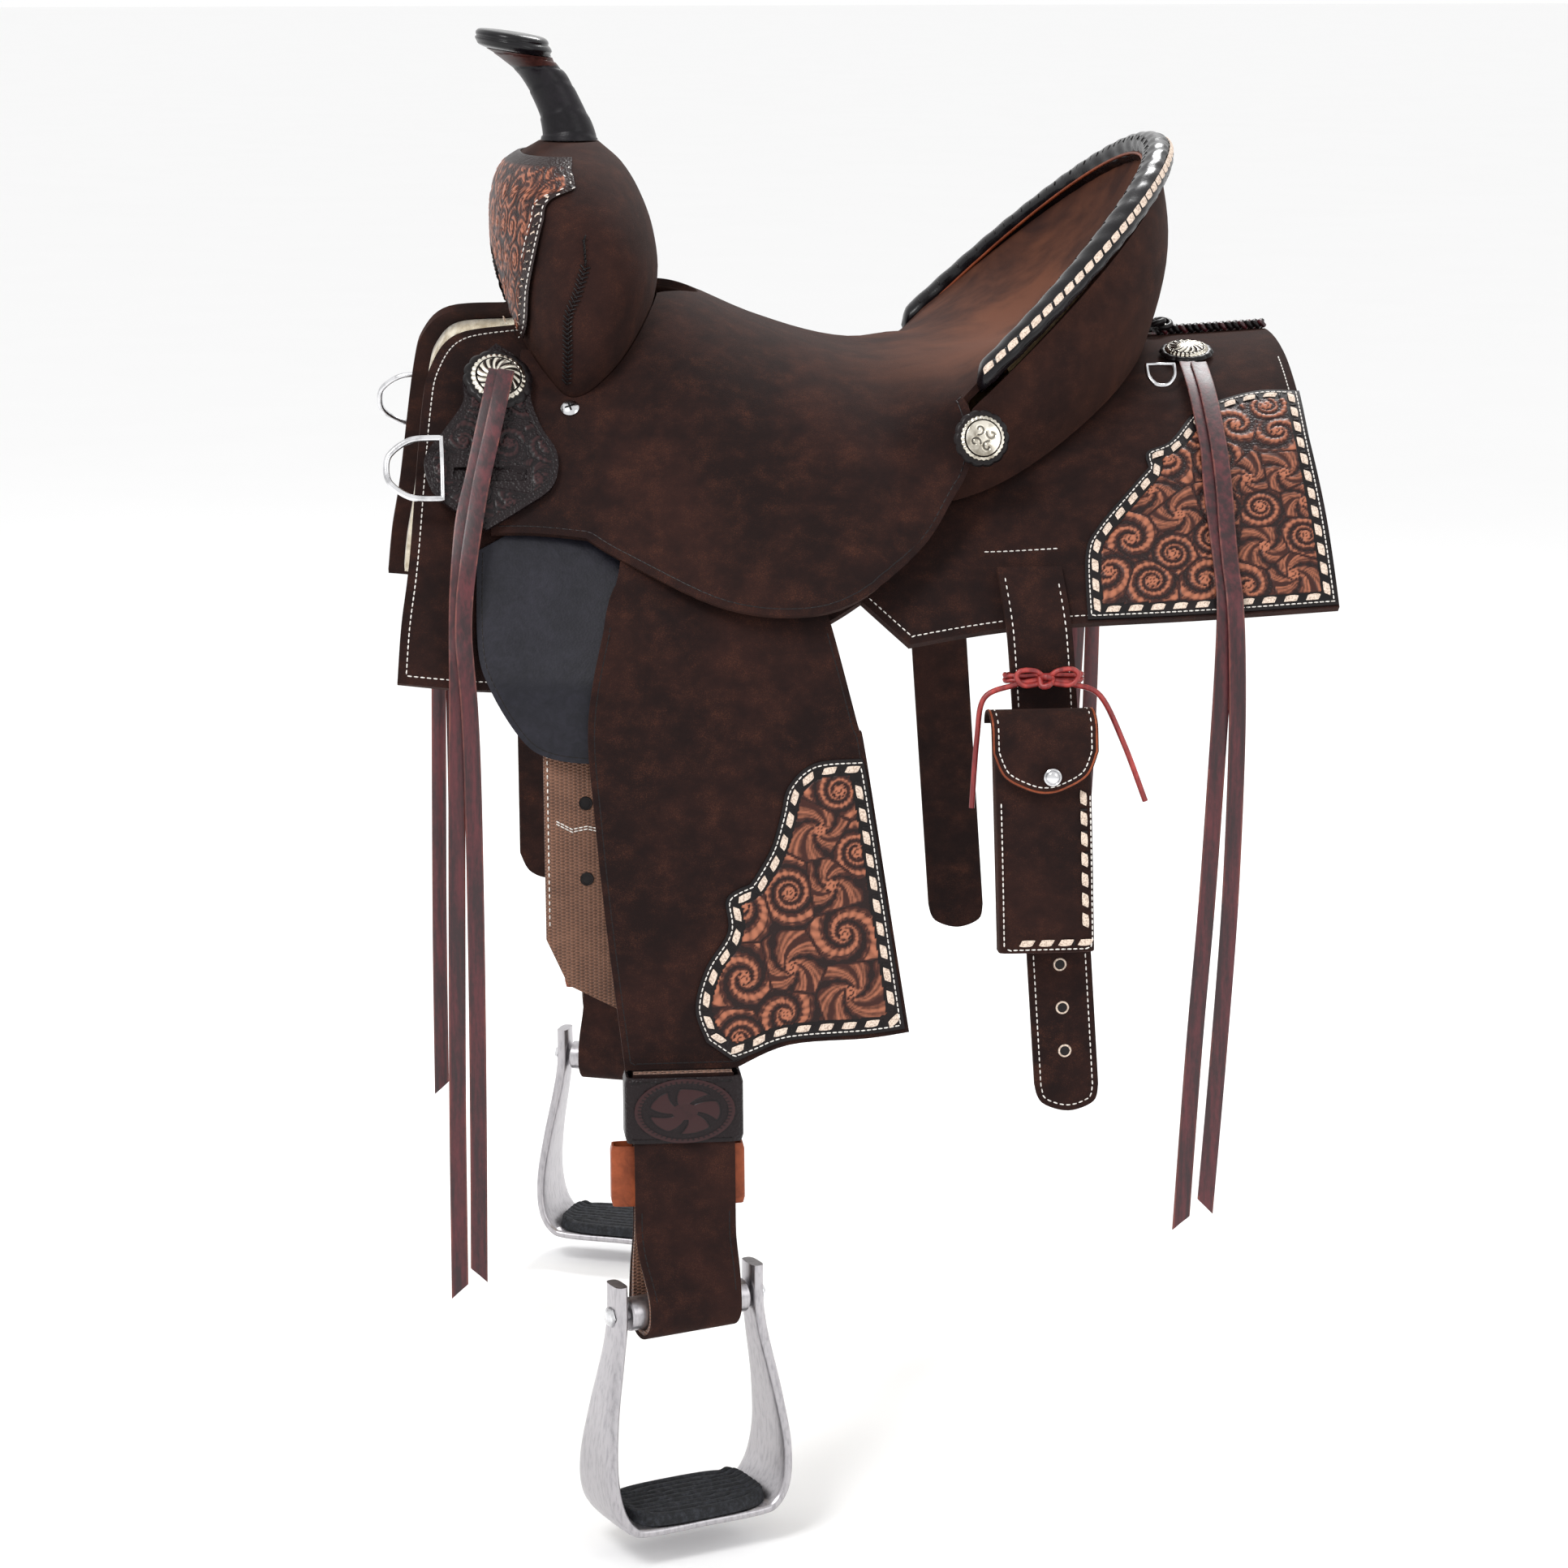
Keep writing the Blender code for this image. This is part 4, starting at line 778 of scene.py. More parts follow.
# ------------------------------------------------------------------ carving
def tooling(sites, flower=0.0044):
    """Carved pattern as a height from 0 to 1: a flower at each site, ringed by leaves that curl round it."""
    petals = 6

    def height(u, v):
        near = sorted((math.hypot(u - x, v - y), k) for k, (x, y) in enumerate(sites))[:2]
        far, k = near[0]
        edge = (near[1][0] - far) if len(near) > 1 else 1.0
        spin = 1 if k % 2 else -1
        angle = math.atan2(v - sites[k][1], u - sites[k][0])
        if far < flower:
            petal = flower * (0.74 + 0.26 * abs(math.cos(petals * angle / 2 + k)) ** 0.7)
            if far > petal:
                return 0.0
            vein = 0.16 * math.cos(petals * 3 * angle + 3 * k)
            cup = 0.55 + 0.45 * math.cos(math.pi * (far / petal - 0.55)) ** 2 + vein * far / flower
            return 0.95 if far < 0.0013 else max(0.15, cup) * (0.4 if far < 0.0019 else 1)
        if k % 3 == 2:
            swirl = angle + spin * 0.95 * math.log(far / flower)
            frond = abs(math.cos(1.5 * swirl + 1.1 * k)) ** 0.7
            notch = 0.10 * math.cos(9 * angle - 7 * spin * math.log(far / flower))
            leaf = smooth_step(0.28, 0.50, frond + notch)
            veins = 0.80 + 0.20 * math.cos(24 * swirl)
            midrib = 1 - 0.65 * math.exp(-((frond - 1.0) / 0.03) ** 2)
            return leaf * veins * midrib * (0.35 + 0.55 * frond) * smooth_step(0.0004, 0.0020, edge)
        turns, step = (1, 1.85) if k % 3 == 0 else (2, 2.5)
        curl = turns * angle + spin * 2 * math.pi * math.log(far / flower) / math.log(step) + 1.7 * k
        leaf = abs(math.sin(curl / 2))
        lobes = 0.5 + 0.5 * math.cos(19 * angle + 2.2 * spin * math.log(far / flower))
        body = smooth_step(0.30, 0.60, leaf - 0.14 * (1 - lobes))
        crown = 0.30 + 0.38 * leaf ** 4 + 0.32 * lobes * leaf
        rib = 1 - 0.6 * math.exp(-((leaf - 0.80) / 0.05) ** 2)
        return body * crown * rib * smooth_step(0.0004, 0.0020, edge)

    return height


TRIES = 1800


def sites_within(loop, gap, seed):
    """Scattered flower places inside an outline, no two closer than a gap."""
    pick = random.Random(seed)
    xs, ys = [p[0] for p in loop], [p[1] for p in loop]
    found = []
    for _ in range(TRIES):
        spot = (pick.uniform(min(xs), max(xs)), pick.uniform(min(ys), max(ys)))
        if holds(loop, spot) and all(math.dist(spot, other) > gap for other in found):
            found.append(spot)
    return found


def holds(loop, spot):
    x, y = spot
    inside = False
    for (ax, ay), (bx, by) in zip(loop, loop[1:] + loop[:1]):
        if (ay > y) != (by > y) and x < (bx - ax) * (y - ay) / (by - ay) + ax:
            inside = not inside
    return inside


def carved(name, body, loop, place, lift, pattern, cell=0.0011, tall=0.0011, margin=0.0, finishes=("tooled",),
           **options):
    """A carved panel in an outline: a fine grid over it, sunk out of sight beyond the outline."""
    inner = inset_line(loop, margin) if margin else [p for p, _ in spaced(loop + loop[:1], 0.002)]
    xs, ys = [p[0] for p in loop], [p[1] for p in loop]
    low, size = (min(xs), min(ys)), (max(xs) - min(xs), max(ys) - min(ys))
    columns, rows = round(size[0] / cell), round(size[1] / cell)
    bm = new_piece()
    away, relief = {}, {}

    def shape(a, b):
        u, v = low[0] + a * size[0], low[1] + b * size[1]
        return Vector((u, v, 0))

    grid(bm, columns, rows, shape)
    lines = []
    for row in range(rows + 1):
        v = low[1] + row * size[1] / rows + 1e-7
        cuts = sorted((bx - ax) * (v - ay) / (by - ay) + ax
                      for (ax, ay), (bx, by) in zip(inner, inner[1:] + inner[:1]) if (ay > v) != (by > v))
        lines.append(cuts)
    doomed = []
    for vert in bm.verts:
        u, v = vert.co.x, vert.co.y
        cuts = lines[round((v - low[1]) / size[1] * rows)]
        inside = sum(c < u for c in cuts) % 2 == 1
        nearest = min((abs(c - u) for c in cuts), default=1.0)
        if not inside and nearest > cell * 2.5:
            near_line = False
            for step in (-2, 2):
                other = round((v - low[1]) / size[1] * rows) + step
                if 0 <= other <= rows and sum(c < u for c in lines[other]) % 2 == 1:
                    near_line = True
            if not near_line:
                doomed.append(vert)
        away[vert], relief[vert] = inside, pattern(u, v) if inside else 0.0
    bmesh.ops.delete(bm, geom=doomed, context="VERTS")
    shade = bm.verts.layers.float.get("tone")
    for vert in bm.verts:
        u, v = vert.co.x, vert.co.y
        high = lift + relief[vert] * tall if away[vert] else lift - 0.0011
        vert.co = place(high)(u, v)
        vert[shade] = relief[vert]
    bmesh.ops.recalc_face_normals(bm, faces=bm.faces)
    return finished(name, bm, body, list(finishes), sharp=180, **options)


# ------------------------------------------------------------------ skirts, wool and their trim
on_skirt = SKIRTS.at
SKIRT_FRONT = [(-0.193, 0.070), (-0.232, 0.066), (-0.250, 0.048), (-0.2576, 0.018), (-0.268, -0.070),
               (-0.2745, -0.111), (-0.278, -0.1466)]
SKIRT_BOTTOM = [(-0.278, -0.1466), (-0.217, -0.152), (-0.13, -0.152), (-0.05, -0.135), (0.0047, -0.110),
                (0.0266, -0.0985)]
SKIRT_REAR = [(0.0562, -0.1247), (0.1185, -0.116), (0.175, -0.1125), (0.26, -0.1090), (0.342, -0.1046)]
SKIRT_END = [(0.342, -0.1046), (0.342, -0.052), (0.3405, -0.007), (0.3405, 0.0223), (0.3420, 0.045)]


def skirt_outline(inset):
    seen = outline(SKIRT_FRONT, SKIRT_BOTTOM) + [SKIRT_BOTTOM[-1]] + outline(SKIRT_REAR, SKIRT_END)
    loop = [(x, run) for x, run in SKIRTS.seen(seen)]
    top = outline([(0.3430, -0.012), (0.343, -0.0035)], [(0.343, -0.0035), (0.265, -0.0035)],
                  [(0.265, -0.0035), (0.235, -0.030), (0.20, -0.046), (-0.10, -0.046), (-0.170, -0.055)])
    loop += [(x, SKIRTS.run(x, y)) for x, y in top]
    return loop if not inset else inset_line(loop, inset)


def make_skirts():
    loop = skirt_outline(0)
    bm = laid(new_piece(), loop, on_skirt(0.0), on_skirt(-SKIRT_THICK), (0.014, 0.014), 0.0022)
    finished("skirt_leather_left", bm, "saddle", ["rough", "edge"], ["skirt_left"])

    def nap(u, v):
        curl = noise.noise(Vector((u * 70, v * 70, 3.1))) + 0.6 * noise.noise(Vector((u * 190, v * 190, 7.7)))
        return SKIRTS.point(u, SKIRTS.half(u, v), -SKIRT_THICK - 0.0125 + 0.0022 * curl)

    bm = laid(new_piece(), skirt_outline(0.011), on_skirt(-SKIRT_THICK - 0.0008), nap, (0.0065, 0.0065),
              0.0015, edge_index=0)
    wool_left = finished("fleece_lining_left", bm, "saddle", ["wool"], ["fleece_left"], sharp=180)

    line = inset_line(loop, 0.0055)
    seen = [p for p in line if on_skirt(0)(*p).z < 0.068 and abs(p[1]) > 0.075]
    rows = [(THREAD, on_skirt(0.0001), part, 0.0042, 0) for part in split_line(seen)]
    rows.append((THREAD, on_skirt(0.0001), SKIRTS.seen([(0.1130, -0.0710), (0.1624, -0.0686)]), 0.0042, 0))
    sewn("skirt_stitching_left", "saddle", rows)


def split_line(points, gap=0.02):
    """Breaks a list of points into runs wherever two neighbours are far apart."""
    parts = [[points[0]]]
    for a, b in zip(points, points[1:]):
        if math.dist(a, b) > gap:
            parts.append([])
        parts[-1].append(b)
    return [part for part in parts if len(part) > 3]


def patch(name, body, loop, place, lift, gap=0.026, seed=1, rows=(0.0026, 0.0066, 0.0105), cell=0.0011,
          border="black", finish="tooled"):
    """A decorated patch: black leather with white stitches and cream lace round a carved panel."""
    bm = laid(new_piece(), loop, place(lift + 0.0012), place(lift - 0.0008), (0.016, 0.016), 0.0010, 0)
    made = finished(name + "_left", bm, body, [border])
    inner = inset_line(loop, rows[2])
    sites = sites_within(inner, gap, seed)
    made += carved(name + "_carving_left", body, loop, place, lift + 0.0014, tooling(sites), cell, 0.0011,
                   rows[2], (finish,))
    stitches = [(THREAD, place(lift + 0.0013), inset_line(loop, rows[0]), 0.0038, 0)]
    lace = inset_line(loop, rows[1])
    stitches.append((LACE, place(lift + 0.0013), lace, 0.0150, 1))
    # dark slit beads between the laces, painted shade of the slit openings
    shifted = lace[3:] + lace[:3]
    stitches.append((SLIT, place(lift + 0.0013), shifted, 0.0150, 2))
    made += sewn(name + "_stitching_left", body, stitches)
    return made


REAR_PATCH = [
    [(0.3415, 0.0223), (0.3400, -0.007), (0.3410, -0.0519), (0.3412, -0.1035)],
    [(0.3412, -0.1035), (0.26, -0.1078), (0.1743, -0.1110)],
    [(0.1743, -0.1110), (0.1773, -0.0742), (0.1873, -0.0571), (0.2151, -0.0322), (0.2278, -0.0217)],
    [(0.2278, -0.0217), (0.2285, -0.0127), (0.2454, -0.0064), (0.2669, 0.0106), (0.2895, 0.018),
     (0.3158, 0.0226), (0.3415, 0.0223)],
]


def make_patches():
    loop = SKIRTS.seen(outline(*REAR_PATCH, steps=7))
    patch("rear_patch", "saddle", loop, on_skirt, 0.0002, 0.025, 4)


def screw_head(name, body, place, radius, replaced):
    bm = new_piece()
    profile = [(0, 0.0030), (radius * 0.45, 0.0029), (radius * 0.8, 0.0021), (radius, 0.0010), (radius, 0.0)]
    spun(bm, profile, 48)
    obj = loose("head", bm, "silver")
    bars = []
    for k in range(2):
        bar = bmesh.new()
        bmesh.ops.create_cube(bar, size=1.0)
        bmesh.ops.scale(bar, vec=(radius * 1.1, radius * 0.22, 0.0022), verts=bar.verts)
        bmesh.ops.rotate(bar, matrix=Matrix.Rotation(math.pi / 2 * k + 0.35, 3, "Z"), verts=bar.verts)
        bmesh.ops.translate(bar, vec=(0, 0, 0.0034), verts=bar.verts)
        bars.append(loose(f"bar_{k}", bar, "steel"))
    mesh = cut(obj, *bars, finish="edge")
    bpy.data.objects.remove(obj)
    mesh.transform(place)
    dress(name, mesh, body, ["steel", "edge"], replaced, sharp=30)


def spun(bm, profile, steps):
    """Turns a profile of (radius, height) round the Z axis."""
    verts = [bm.verts.new((radius, 0, height)) for radius, height in profile]
    edges = [bm.edges.new(pair) for pair in zip(verts, verts[1:])]
    bmesh.ops.spin(bm, geom=verts + edges, cent=(0, 0, 0), axis=(0, 0, 1), angle=2 * math.pi, steps=steps,
                   use_merge=True)
    bmesh.ops.remove_doubles(bm, verts=bm.verts, dist=1e-6)
    bmesh.ops.recalc_face_normals(bm, faces=bm.faces)


def frame_at(point, outward, up=Vector((0, 0, 1))):
    z = outward.normalized()
    x = up.cross(z).normalized()
    return Matrix.Translation(point) @ Matrix((x, z.cross(x), z)).transposed().to_4x4()


def concho(name, body, place, radius, node, scroll=False):
    """Scalloped black rosette under a scalloped silver disc, engraved with rays or with four scrolls."""
    steps, petals = 168, 14
    bm = new_piece()

    def leather(a, b):
        angle, r = 2 * math.pi * a, radius * (1 - b)
        wave = 1 + 0.055 * abs(math.cos(petals * angle / 2)) ** 0.7 * (1 - b)
        crown = 0.0022 * (1 - max(0, (0.12 - b) / 0.12) ** 2)
        return Vector((r * wave * 0.95 * math.cos(angle), r * wave * 0.95 * math.sin(angle), crown))

    grid(bm, steps, 18, leather)
    turn_out(bm)
    bmesh.ops.transform(bm, matrix=place, verts=bm.verts)
    finished(name.replace("concho", "rosette"), bm, body, ["black"])

    size = radius * 0.83
    bm = new_piece()

    def engraving(a, b):
        angle, share = 2 * math.pi * a, 1 - b
        if share > 0.80:
            return 0.45 + 0.55 * abs(math.cos(petals * angle / 2 * 2))
        if share > 0.74:
            return 0.0
        if scroll:
            x, y = share * math.cos(angle), share * math.sin(angle)
            best = 1.0
            for quarter in range(4):
                facing = quarter * math.pi / 2 + 0.4
                for k in range(26):
                    t = k / 25
                    turn = facing + 2.4 + t * 4.8
                    reach = 0.24 * (1 - 0.72 * t)
                    cx = 0.40 * math.cos(facing) + reach * math.cos(turn)
                    cy = 0.40 * math.sin(facing) + reach * math.sin(turn)
                    best = min(best, math.hypot(x - cx, y - cy))
            return 0.15 + 0.85 * smooth_step(0.03, 0.08, best)
        return 0.5 + 0.5 * math.cos(petals * angle + 5 * share * 3) * smooth_step(0.1, 0.5, share)

    def disc(a, b):
        angle, share = 2 * math.pi * a, 1 - b
        edge = size * (1 - 0.05 * (1 - abs(math.cos(petals * angle / 2 * 2))) * smooth_step(0.8, 1.0, share))
        dome = 0.0024 + 0.0030 * (1 - share ** 2) - 0.0022 * smooth_step(0.93, 1.0, share)
        rim = 0.0008 * math.exp(-((share - 0.77) / 0.03) ** 2)
        return Vector((edge * share * math.cos(angle), edge * share * math.sin(angle),
                       dome + rim + 0.0007 * engraving(a, b)))

    grid(bm, steps, 44, disc, engraving)
    turn_out(bm)
    bmesh.ops.transform(bm, matrix=place, verts=bm.verts)
    mesh = bpy.data.meshes.new(name)
    bm.to_mesh(mesh)
    bm.free()
    dress(name, mesh, body, ["silver"], [node], sharp=50)


def on_surface(surface, x, run, lift):
    place = surface.at(lift)
    return frame_at(place(x, run), place(x, run) - surface.at(lift - 0.01)(x, run))


def make_trim():
    top = SKIRTS.seen([(-0.2065, 0.040)], KEEPER_LIFT)[0]
    concho("front_concho_left", "saddle", on_surface(SKIRTS, *top, KEEPER_LIFT + 0.0006), 0.0235,
           "front_concho_left")
    concho("cantle_concho_left", "saddle",
           frame_at(Vector((0.1085, -0.2125, 0.0050)), Vector((0.12, -1, 0.22))), 0.0190,
           "cantle_concho_left", scroll=True)
    concho("rear_concho_left", "saddle", on_surface(SKIRTS, 0.2740, SKIRTS.run(0.2740, -0.066), 0.0028),
           0.0190, "rear_concho_left")
    screw = SEAT.seen([(-0.1590, 0.0205)])[0]
    screw_head("jockey_screw_head_left", "saddle", on_surface(SEAT, *screw, 0.0004), 0.0061,
               ["jockey_screw_left"])

    edge = outline(
        [(-0.2065, 0.062), (-0.2280, 0.046), (-0.2300, 0.028), (-0.2420, 0.012), (-0.2565, -0.0060),
         (-0.2520, -0.0260), (-0.2400, -0.0370), (-0.2177, -0.0510)],
        [(-0.2177, -0.0510), (-0.1930, -0.0380), (-0.1730, -0.0250), (-0.1690, -0.0060), (-0.1790, 0.0110),
         (-0.1850, 0.028), (-0.1850, 0.046), (-0.2065, 0.062)])
    loop = SKIRTS.seen(edge, KEEPER_LIFT)
    bm = laid(new_piece(), loop, on_skirt(KEEPER_LIFT), on_skirt(KEEPER_LIFT - 0.0038), (0.010, 0.010),
              0.0016)
    plate = loose("keeper", bm)
    slot = outline([(-0.2375, -0.0125), (-0.2385, -0.0170), (-0.2375, -0.0215)],
                   [(-0.2375, -0.0215), (-0.1905, -0.0215)],
                   [(-0.1905, -0.0215), (-0.1895, -0.0170), (-0.1905, -0.0125)],
                   [(-0.1905, -0.0125), (-0.2375, -0.0125)])
    cutter = bmesh.new()
    face = cutter.faces.new([cutter.verts.new((x, -0.30, z)) for x, z in slot])
    raised = bmesh.ops.extrude_face_region(cutter, geom=[face])
    bmesh.ops.translate(cutter, vec=(0, 0.2, 0), verts=points_in(raised))
    bmesh.ops.recalc_face_normals(cutter, faces=cutter.faces)
    plate.data.materials.append(FINISH["edge"].material)
    mesh = cut(plate, loose("slot", cutter))
    bpy.data.objects.remove(plate)
    dress("latigo_keeper_leather_left", mesh, "saddle", ["plain_tool", "edge"], ["latigo_keeper_left"])
    slot_run = SKIRTS.seen([(-0.214, -0.017)], KEEPER_LIFT)[0]
    inner = inset_line(loop, 0.0045)
    panel = [(u, v) for u, v in inner]
    pattern = tooling(sites_within(panel, 0.019, 8), flower=0.0045)

    def keeper_relief(u, v):
        clear = max(abs(u - slot_run[0]) - 0.0275, abs(v - slot_run[1]) - 0.0095)
        return pattern(u, v) * smooth_step(0.0, 0.0015, clear)

    carve_keeper(loop, keeper_relief, slot_run)
    sewn("keeper_crease_left", "saddle",
         [(SLIT_LINE, on_skirt(KEEPER_LIFT), inset_line(loop, 0.0030), 0.0042, 2)])


def carve_keeper(loop, relief, slot_run):
    """The keeper's carving, with the slot's strip left out of it."""

    def place(lift):
        def at(u, v):
            near = max(abs(u - slot_run[0]) - 0.0262, abs(v - slot_run[1]) - 0.0080)
            return on_skirt(lift if near > 0 else KEEPER_LIFT - 0.0030)(u, v)
        return at

    return carved("keeper_carving_left", "saddle", loop, place, KEEPER_LIFT + 0.0001, relief, 0.0010,
                  0.0009, 0.0048, ("plain_tool",))


def wire(name, points, radius, finish, body, cyclic=False, sides=14, replaces=()):
    """A round wire or cord through points, as a curve turned into a mesh."""
    curve = bpy.data.curves.new(name, "CURVE")
    curve.dimensions = "3D"
    curve.bevel_depth = radius
    curve.bevel_resolution = max(1, sides // 4)
    curve.use_fill_caps = True
    spline = curve.splines.new("POLY")
    spline.points.add(len(points) - 1)
    for target, point in zip(spline.points, points):
        target.co = (*point, 1)
    spline.use_cyclic_u = cyclic
    holder = bpy.data.objects.new(name, curve)
    bpy.context.scene.collection.objects.link(holder)
    mesh = bpy.data.meshes.new_from_object(holder.evaluated_get(bpy.context.evaluated_depsgraph_get()))
    bpy.data.objects.remove(holder)
    bm = new_piece()
    bm.from_mesh(mesh)
    turn_out(bm, 2e-6)
    return finished(name, bm, body, [finish], replaces, sharp=60)


def ring_line(long, high, steps=10):
    bow = smooth_run([(0, high / 2), (-long * 0.55, high * 0.47), (-long * 0.92, high * 0.25), (-long, 0),
                      (-long * 0.92, -high * 0.25), (-long * 0.55, -high * 0.47), (0, -high / 2)], steps)
    return bow + [(0, -high / 2)]


FRONT_DEE, REAR_DEE = Vector((-0.2455, -0.1960, -0.0120)), Vector((0.2480, -0.1050, 0.0405))


def make_dees():
    lean = Vector((0, -0.40, -1)).normalized()
    loop = [FRONT_DEE + Vector((a, 0, 0)) - lean * b for a, b in ring_line(0.0365, 0.041)]
    wire("front_dee_ring_left", loop, 0.0021, "steel", None, True, 20)
    down = Vector((0, -0.62, -0.78)).normalized()
    small = [REAR_DEE + Vector((b, 0, 0)) - down * a for a, b in ring_line(0.017, 0.019)]
    wire("rear_dee_ring_left", small, 0.0015, "steel", None, True, 16)
    for part in ("front", "rear"):
        for side in ("left", "right"):
            ring = bpy.data.objects[f"{part}_dee_ring_{side}"]
            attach(ring, f"{part}_dee_ring_{side}")
            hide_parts(f"{part}_dee_{side}")


# ------------------------------------------------------------------ rigging flap
FLAP = [
    [(-0.2238, -0.066), (-0.2252, -0.125), (-0.2171, -0.1526), (-0.1990, -0.1830), (-0.1821, -0.1960),
     (-0.1539, -0.2005), (-0.1300, -0.1950), (-0.1220, -0.1700)],
    [(-0.1220, -0.1700), (-0.1220, -0.0600)],
    [(-0.1220, -0.0600), (-0.1700, -0.0450), (-0.2238, -0.066)],
]


def flap_face(lift):
    face_at = on_skirt(lift)

    def place(x, z):
        x_on, run_on = SKIRTS.seen([(x, max(z, -0.1535))], lift)[0]
        return Vector((x, face_at(x_on, run_on).y, z))

    return place


def make_flap():
    loop = outline(*FLAP, steps=5)
    bm = laid(new_piece(), loop, flap_face(0.0036), flap_face(0.0008), (0.009, 0.009), 0.0014)
    finished("rigging_flap_leather_left", bm, "saddle", ["flap", "edge"], ["rigging_flap_left"])
    line = [p for p in inset_line(loop, 0.0036) if p[1] < -0.068 and p[0] < -0.128]
    rows = [(SLIT_LINE, flap_face(0.0036), part, 0.0042, 2) for part in split_line(line)]
    sewn("rigging_flap_crease_left", "saddle", rows)


# ------------------------------------------------------------------ seat and cantle
SEAT_REAR = [(0.1085, 0.006), (0.1005, -0.016), (0.0905, -0.0315), (0.0653, -0.0645), (0.0166, -0.0945),
             (-0.0252, -0.1020), (-0.0732, -0.0945), (-0.1306, -0.0700), (-0.1525, -0.0575)]
SEAT_FRONT = [(-0.2145, -0.0540), (-0.2105, -0.0240), (-0.1960, 0.0260), (-0.1885, 0.0600)]


def swell_sections(grow, steps=5, around=84):
    rows = []
    heights = [row[0] for row in SWELL_STATIONS]
    levels = [a + (b - a) * k / steps for a, b in zip(heights, heights[1:]) for k in range(steps)]
    levels.append(heights[-1])
    for z in levels:
        ring = [swell_point(2 * math.pi * k / around, z, grow) for k in range(around)]
        lift = grow if z == heights[-1] else 0.0
        rows.append([p + Vector((0, 0, lift)) for p in ring])
    return rows


def gullet_cutter():
    half, top = GULLET_HALF, GULLET_TOP
    rise = [(half, 0.02), (half * 0.93, 0.065), (half * 0.62, top - 0.015)]
    fall = [(-y, z) for y, z in reversed(rise)]
    arch = [(-half, -0.1), (half, -0.1)] + smooth_run(rise + [(0, top)] + fall, 8) + [(-half, 0.02)]
    bm = bmesh.new()
    face = bm.faces.new([bm.verts.new((-0.25, y, z)) for y, z in arch])
    raised = bmesh.ops.extrude_face_region(bm, geom=[face])
    bmesh.ops.translate(bm, vec=(0.2, 0, 0), verts=points_in(raised))
    bmesh.ops.recalc_face_normals(bm, faces=bm.faces)
    return loose("gullet", bm)


def ground_cutter(lift):
    top = lambda x, y: SKIRTS.point(x, y, lift)
    loop = [(-0.23, -0.19), (-0.06, -0.19), (-0.06, 0.19), (-0.23, 0.19)]
    bm = laid(new_piece(), loop, top, lambda x, y: Vector((x, y, -0.25)), (0.01, 0.01), 0, 0)
    return loose("ground", bm)


def make_seat():
    near = SEAT.seen(outline(SEAT_REAR)
                     + smooth_run([(-0.1525, -0.0575), (-0.185, -0.0545), (-0.2145, -0.0540)], 5)
                     + smooth_run(SEAT_FRONT, 6))
    hand_hole = [(-0.150, -0.110), (-0.110, -0.075), (-0.094, -0.058), (-0.080, -0.046), (-0.067, -0.028),
                 (-0.0615, -0.008), (-0.0615, 0.0)]
    hole = [(x, SEAT.run(x, y)) for x, y in smooth_run(hand_hole, 5)]
    inner = []
    for k in range(31):
        angle = math.radians(3 * k)
        x, y = ROLL_X + ROLL_DEEP * 0.975 * math.sin(angle), -ROLL_WIDE * 0.975 * math.cos(angle)
        inner.append((x, SEAT.run(x, y)))
    half = list(reversed(inner)) + near + hole
    loop = half + [(x, -y) for x, y in reversed(half) if abs(y) > 1e-6]
    bm = laid(new_piece(), loop, SEAT.at(0.0), SEAT.at(-JOCKEY_THICK), (0.011, 0.011), 0.0024)
    shade = bm.verts.layers.float.get("tone")
    for v in bm.verts:
        beyond = smooth_step(0.10, 0.2, abs(v.co.y)) * (v.co.x < 0.12)
        v[shade] = smooth_step(0.0, 0.17, v.co.x) * (1 - beyond)
    obj = loose("seat_leather_block", bm, "rough")
    obj.data.materials.append(FINISH["edge"].material)
    mesh = cut(obj, loose("front_cutter", ring_bm(swell_sections(0.0012, 3, 64))))
    bpy.data.objects.remove(obj)
    dress("seat_leather", mesh, "saddle", ["rough", "edge"], ["seat"])
    line = [p for p in inset_line(half, 0.0048) if p[0] < 0.105 and SEAT.at(0)(*p).z < 0.055
            and abs(p[1]) > 0.17]
    sewn("jockey_crease_left", "saddle",
         [(SLIT_LINE, SEAT.at(0.0), part, 0.0042, 2) for part in split_line(line)])


SLIT_LINE = bead_shape(0.0046, 0.0009, 0.0004, segments=4, rings=3)


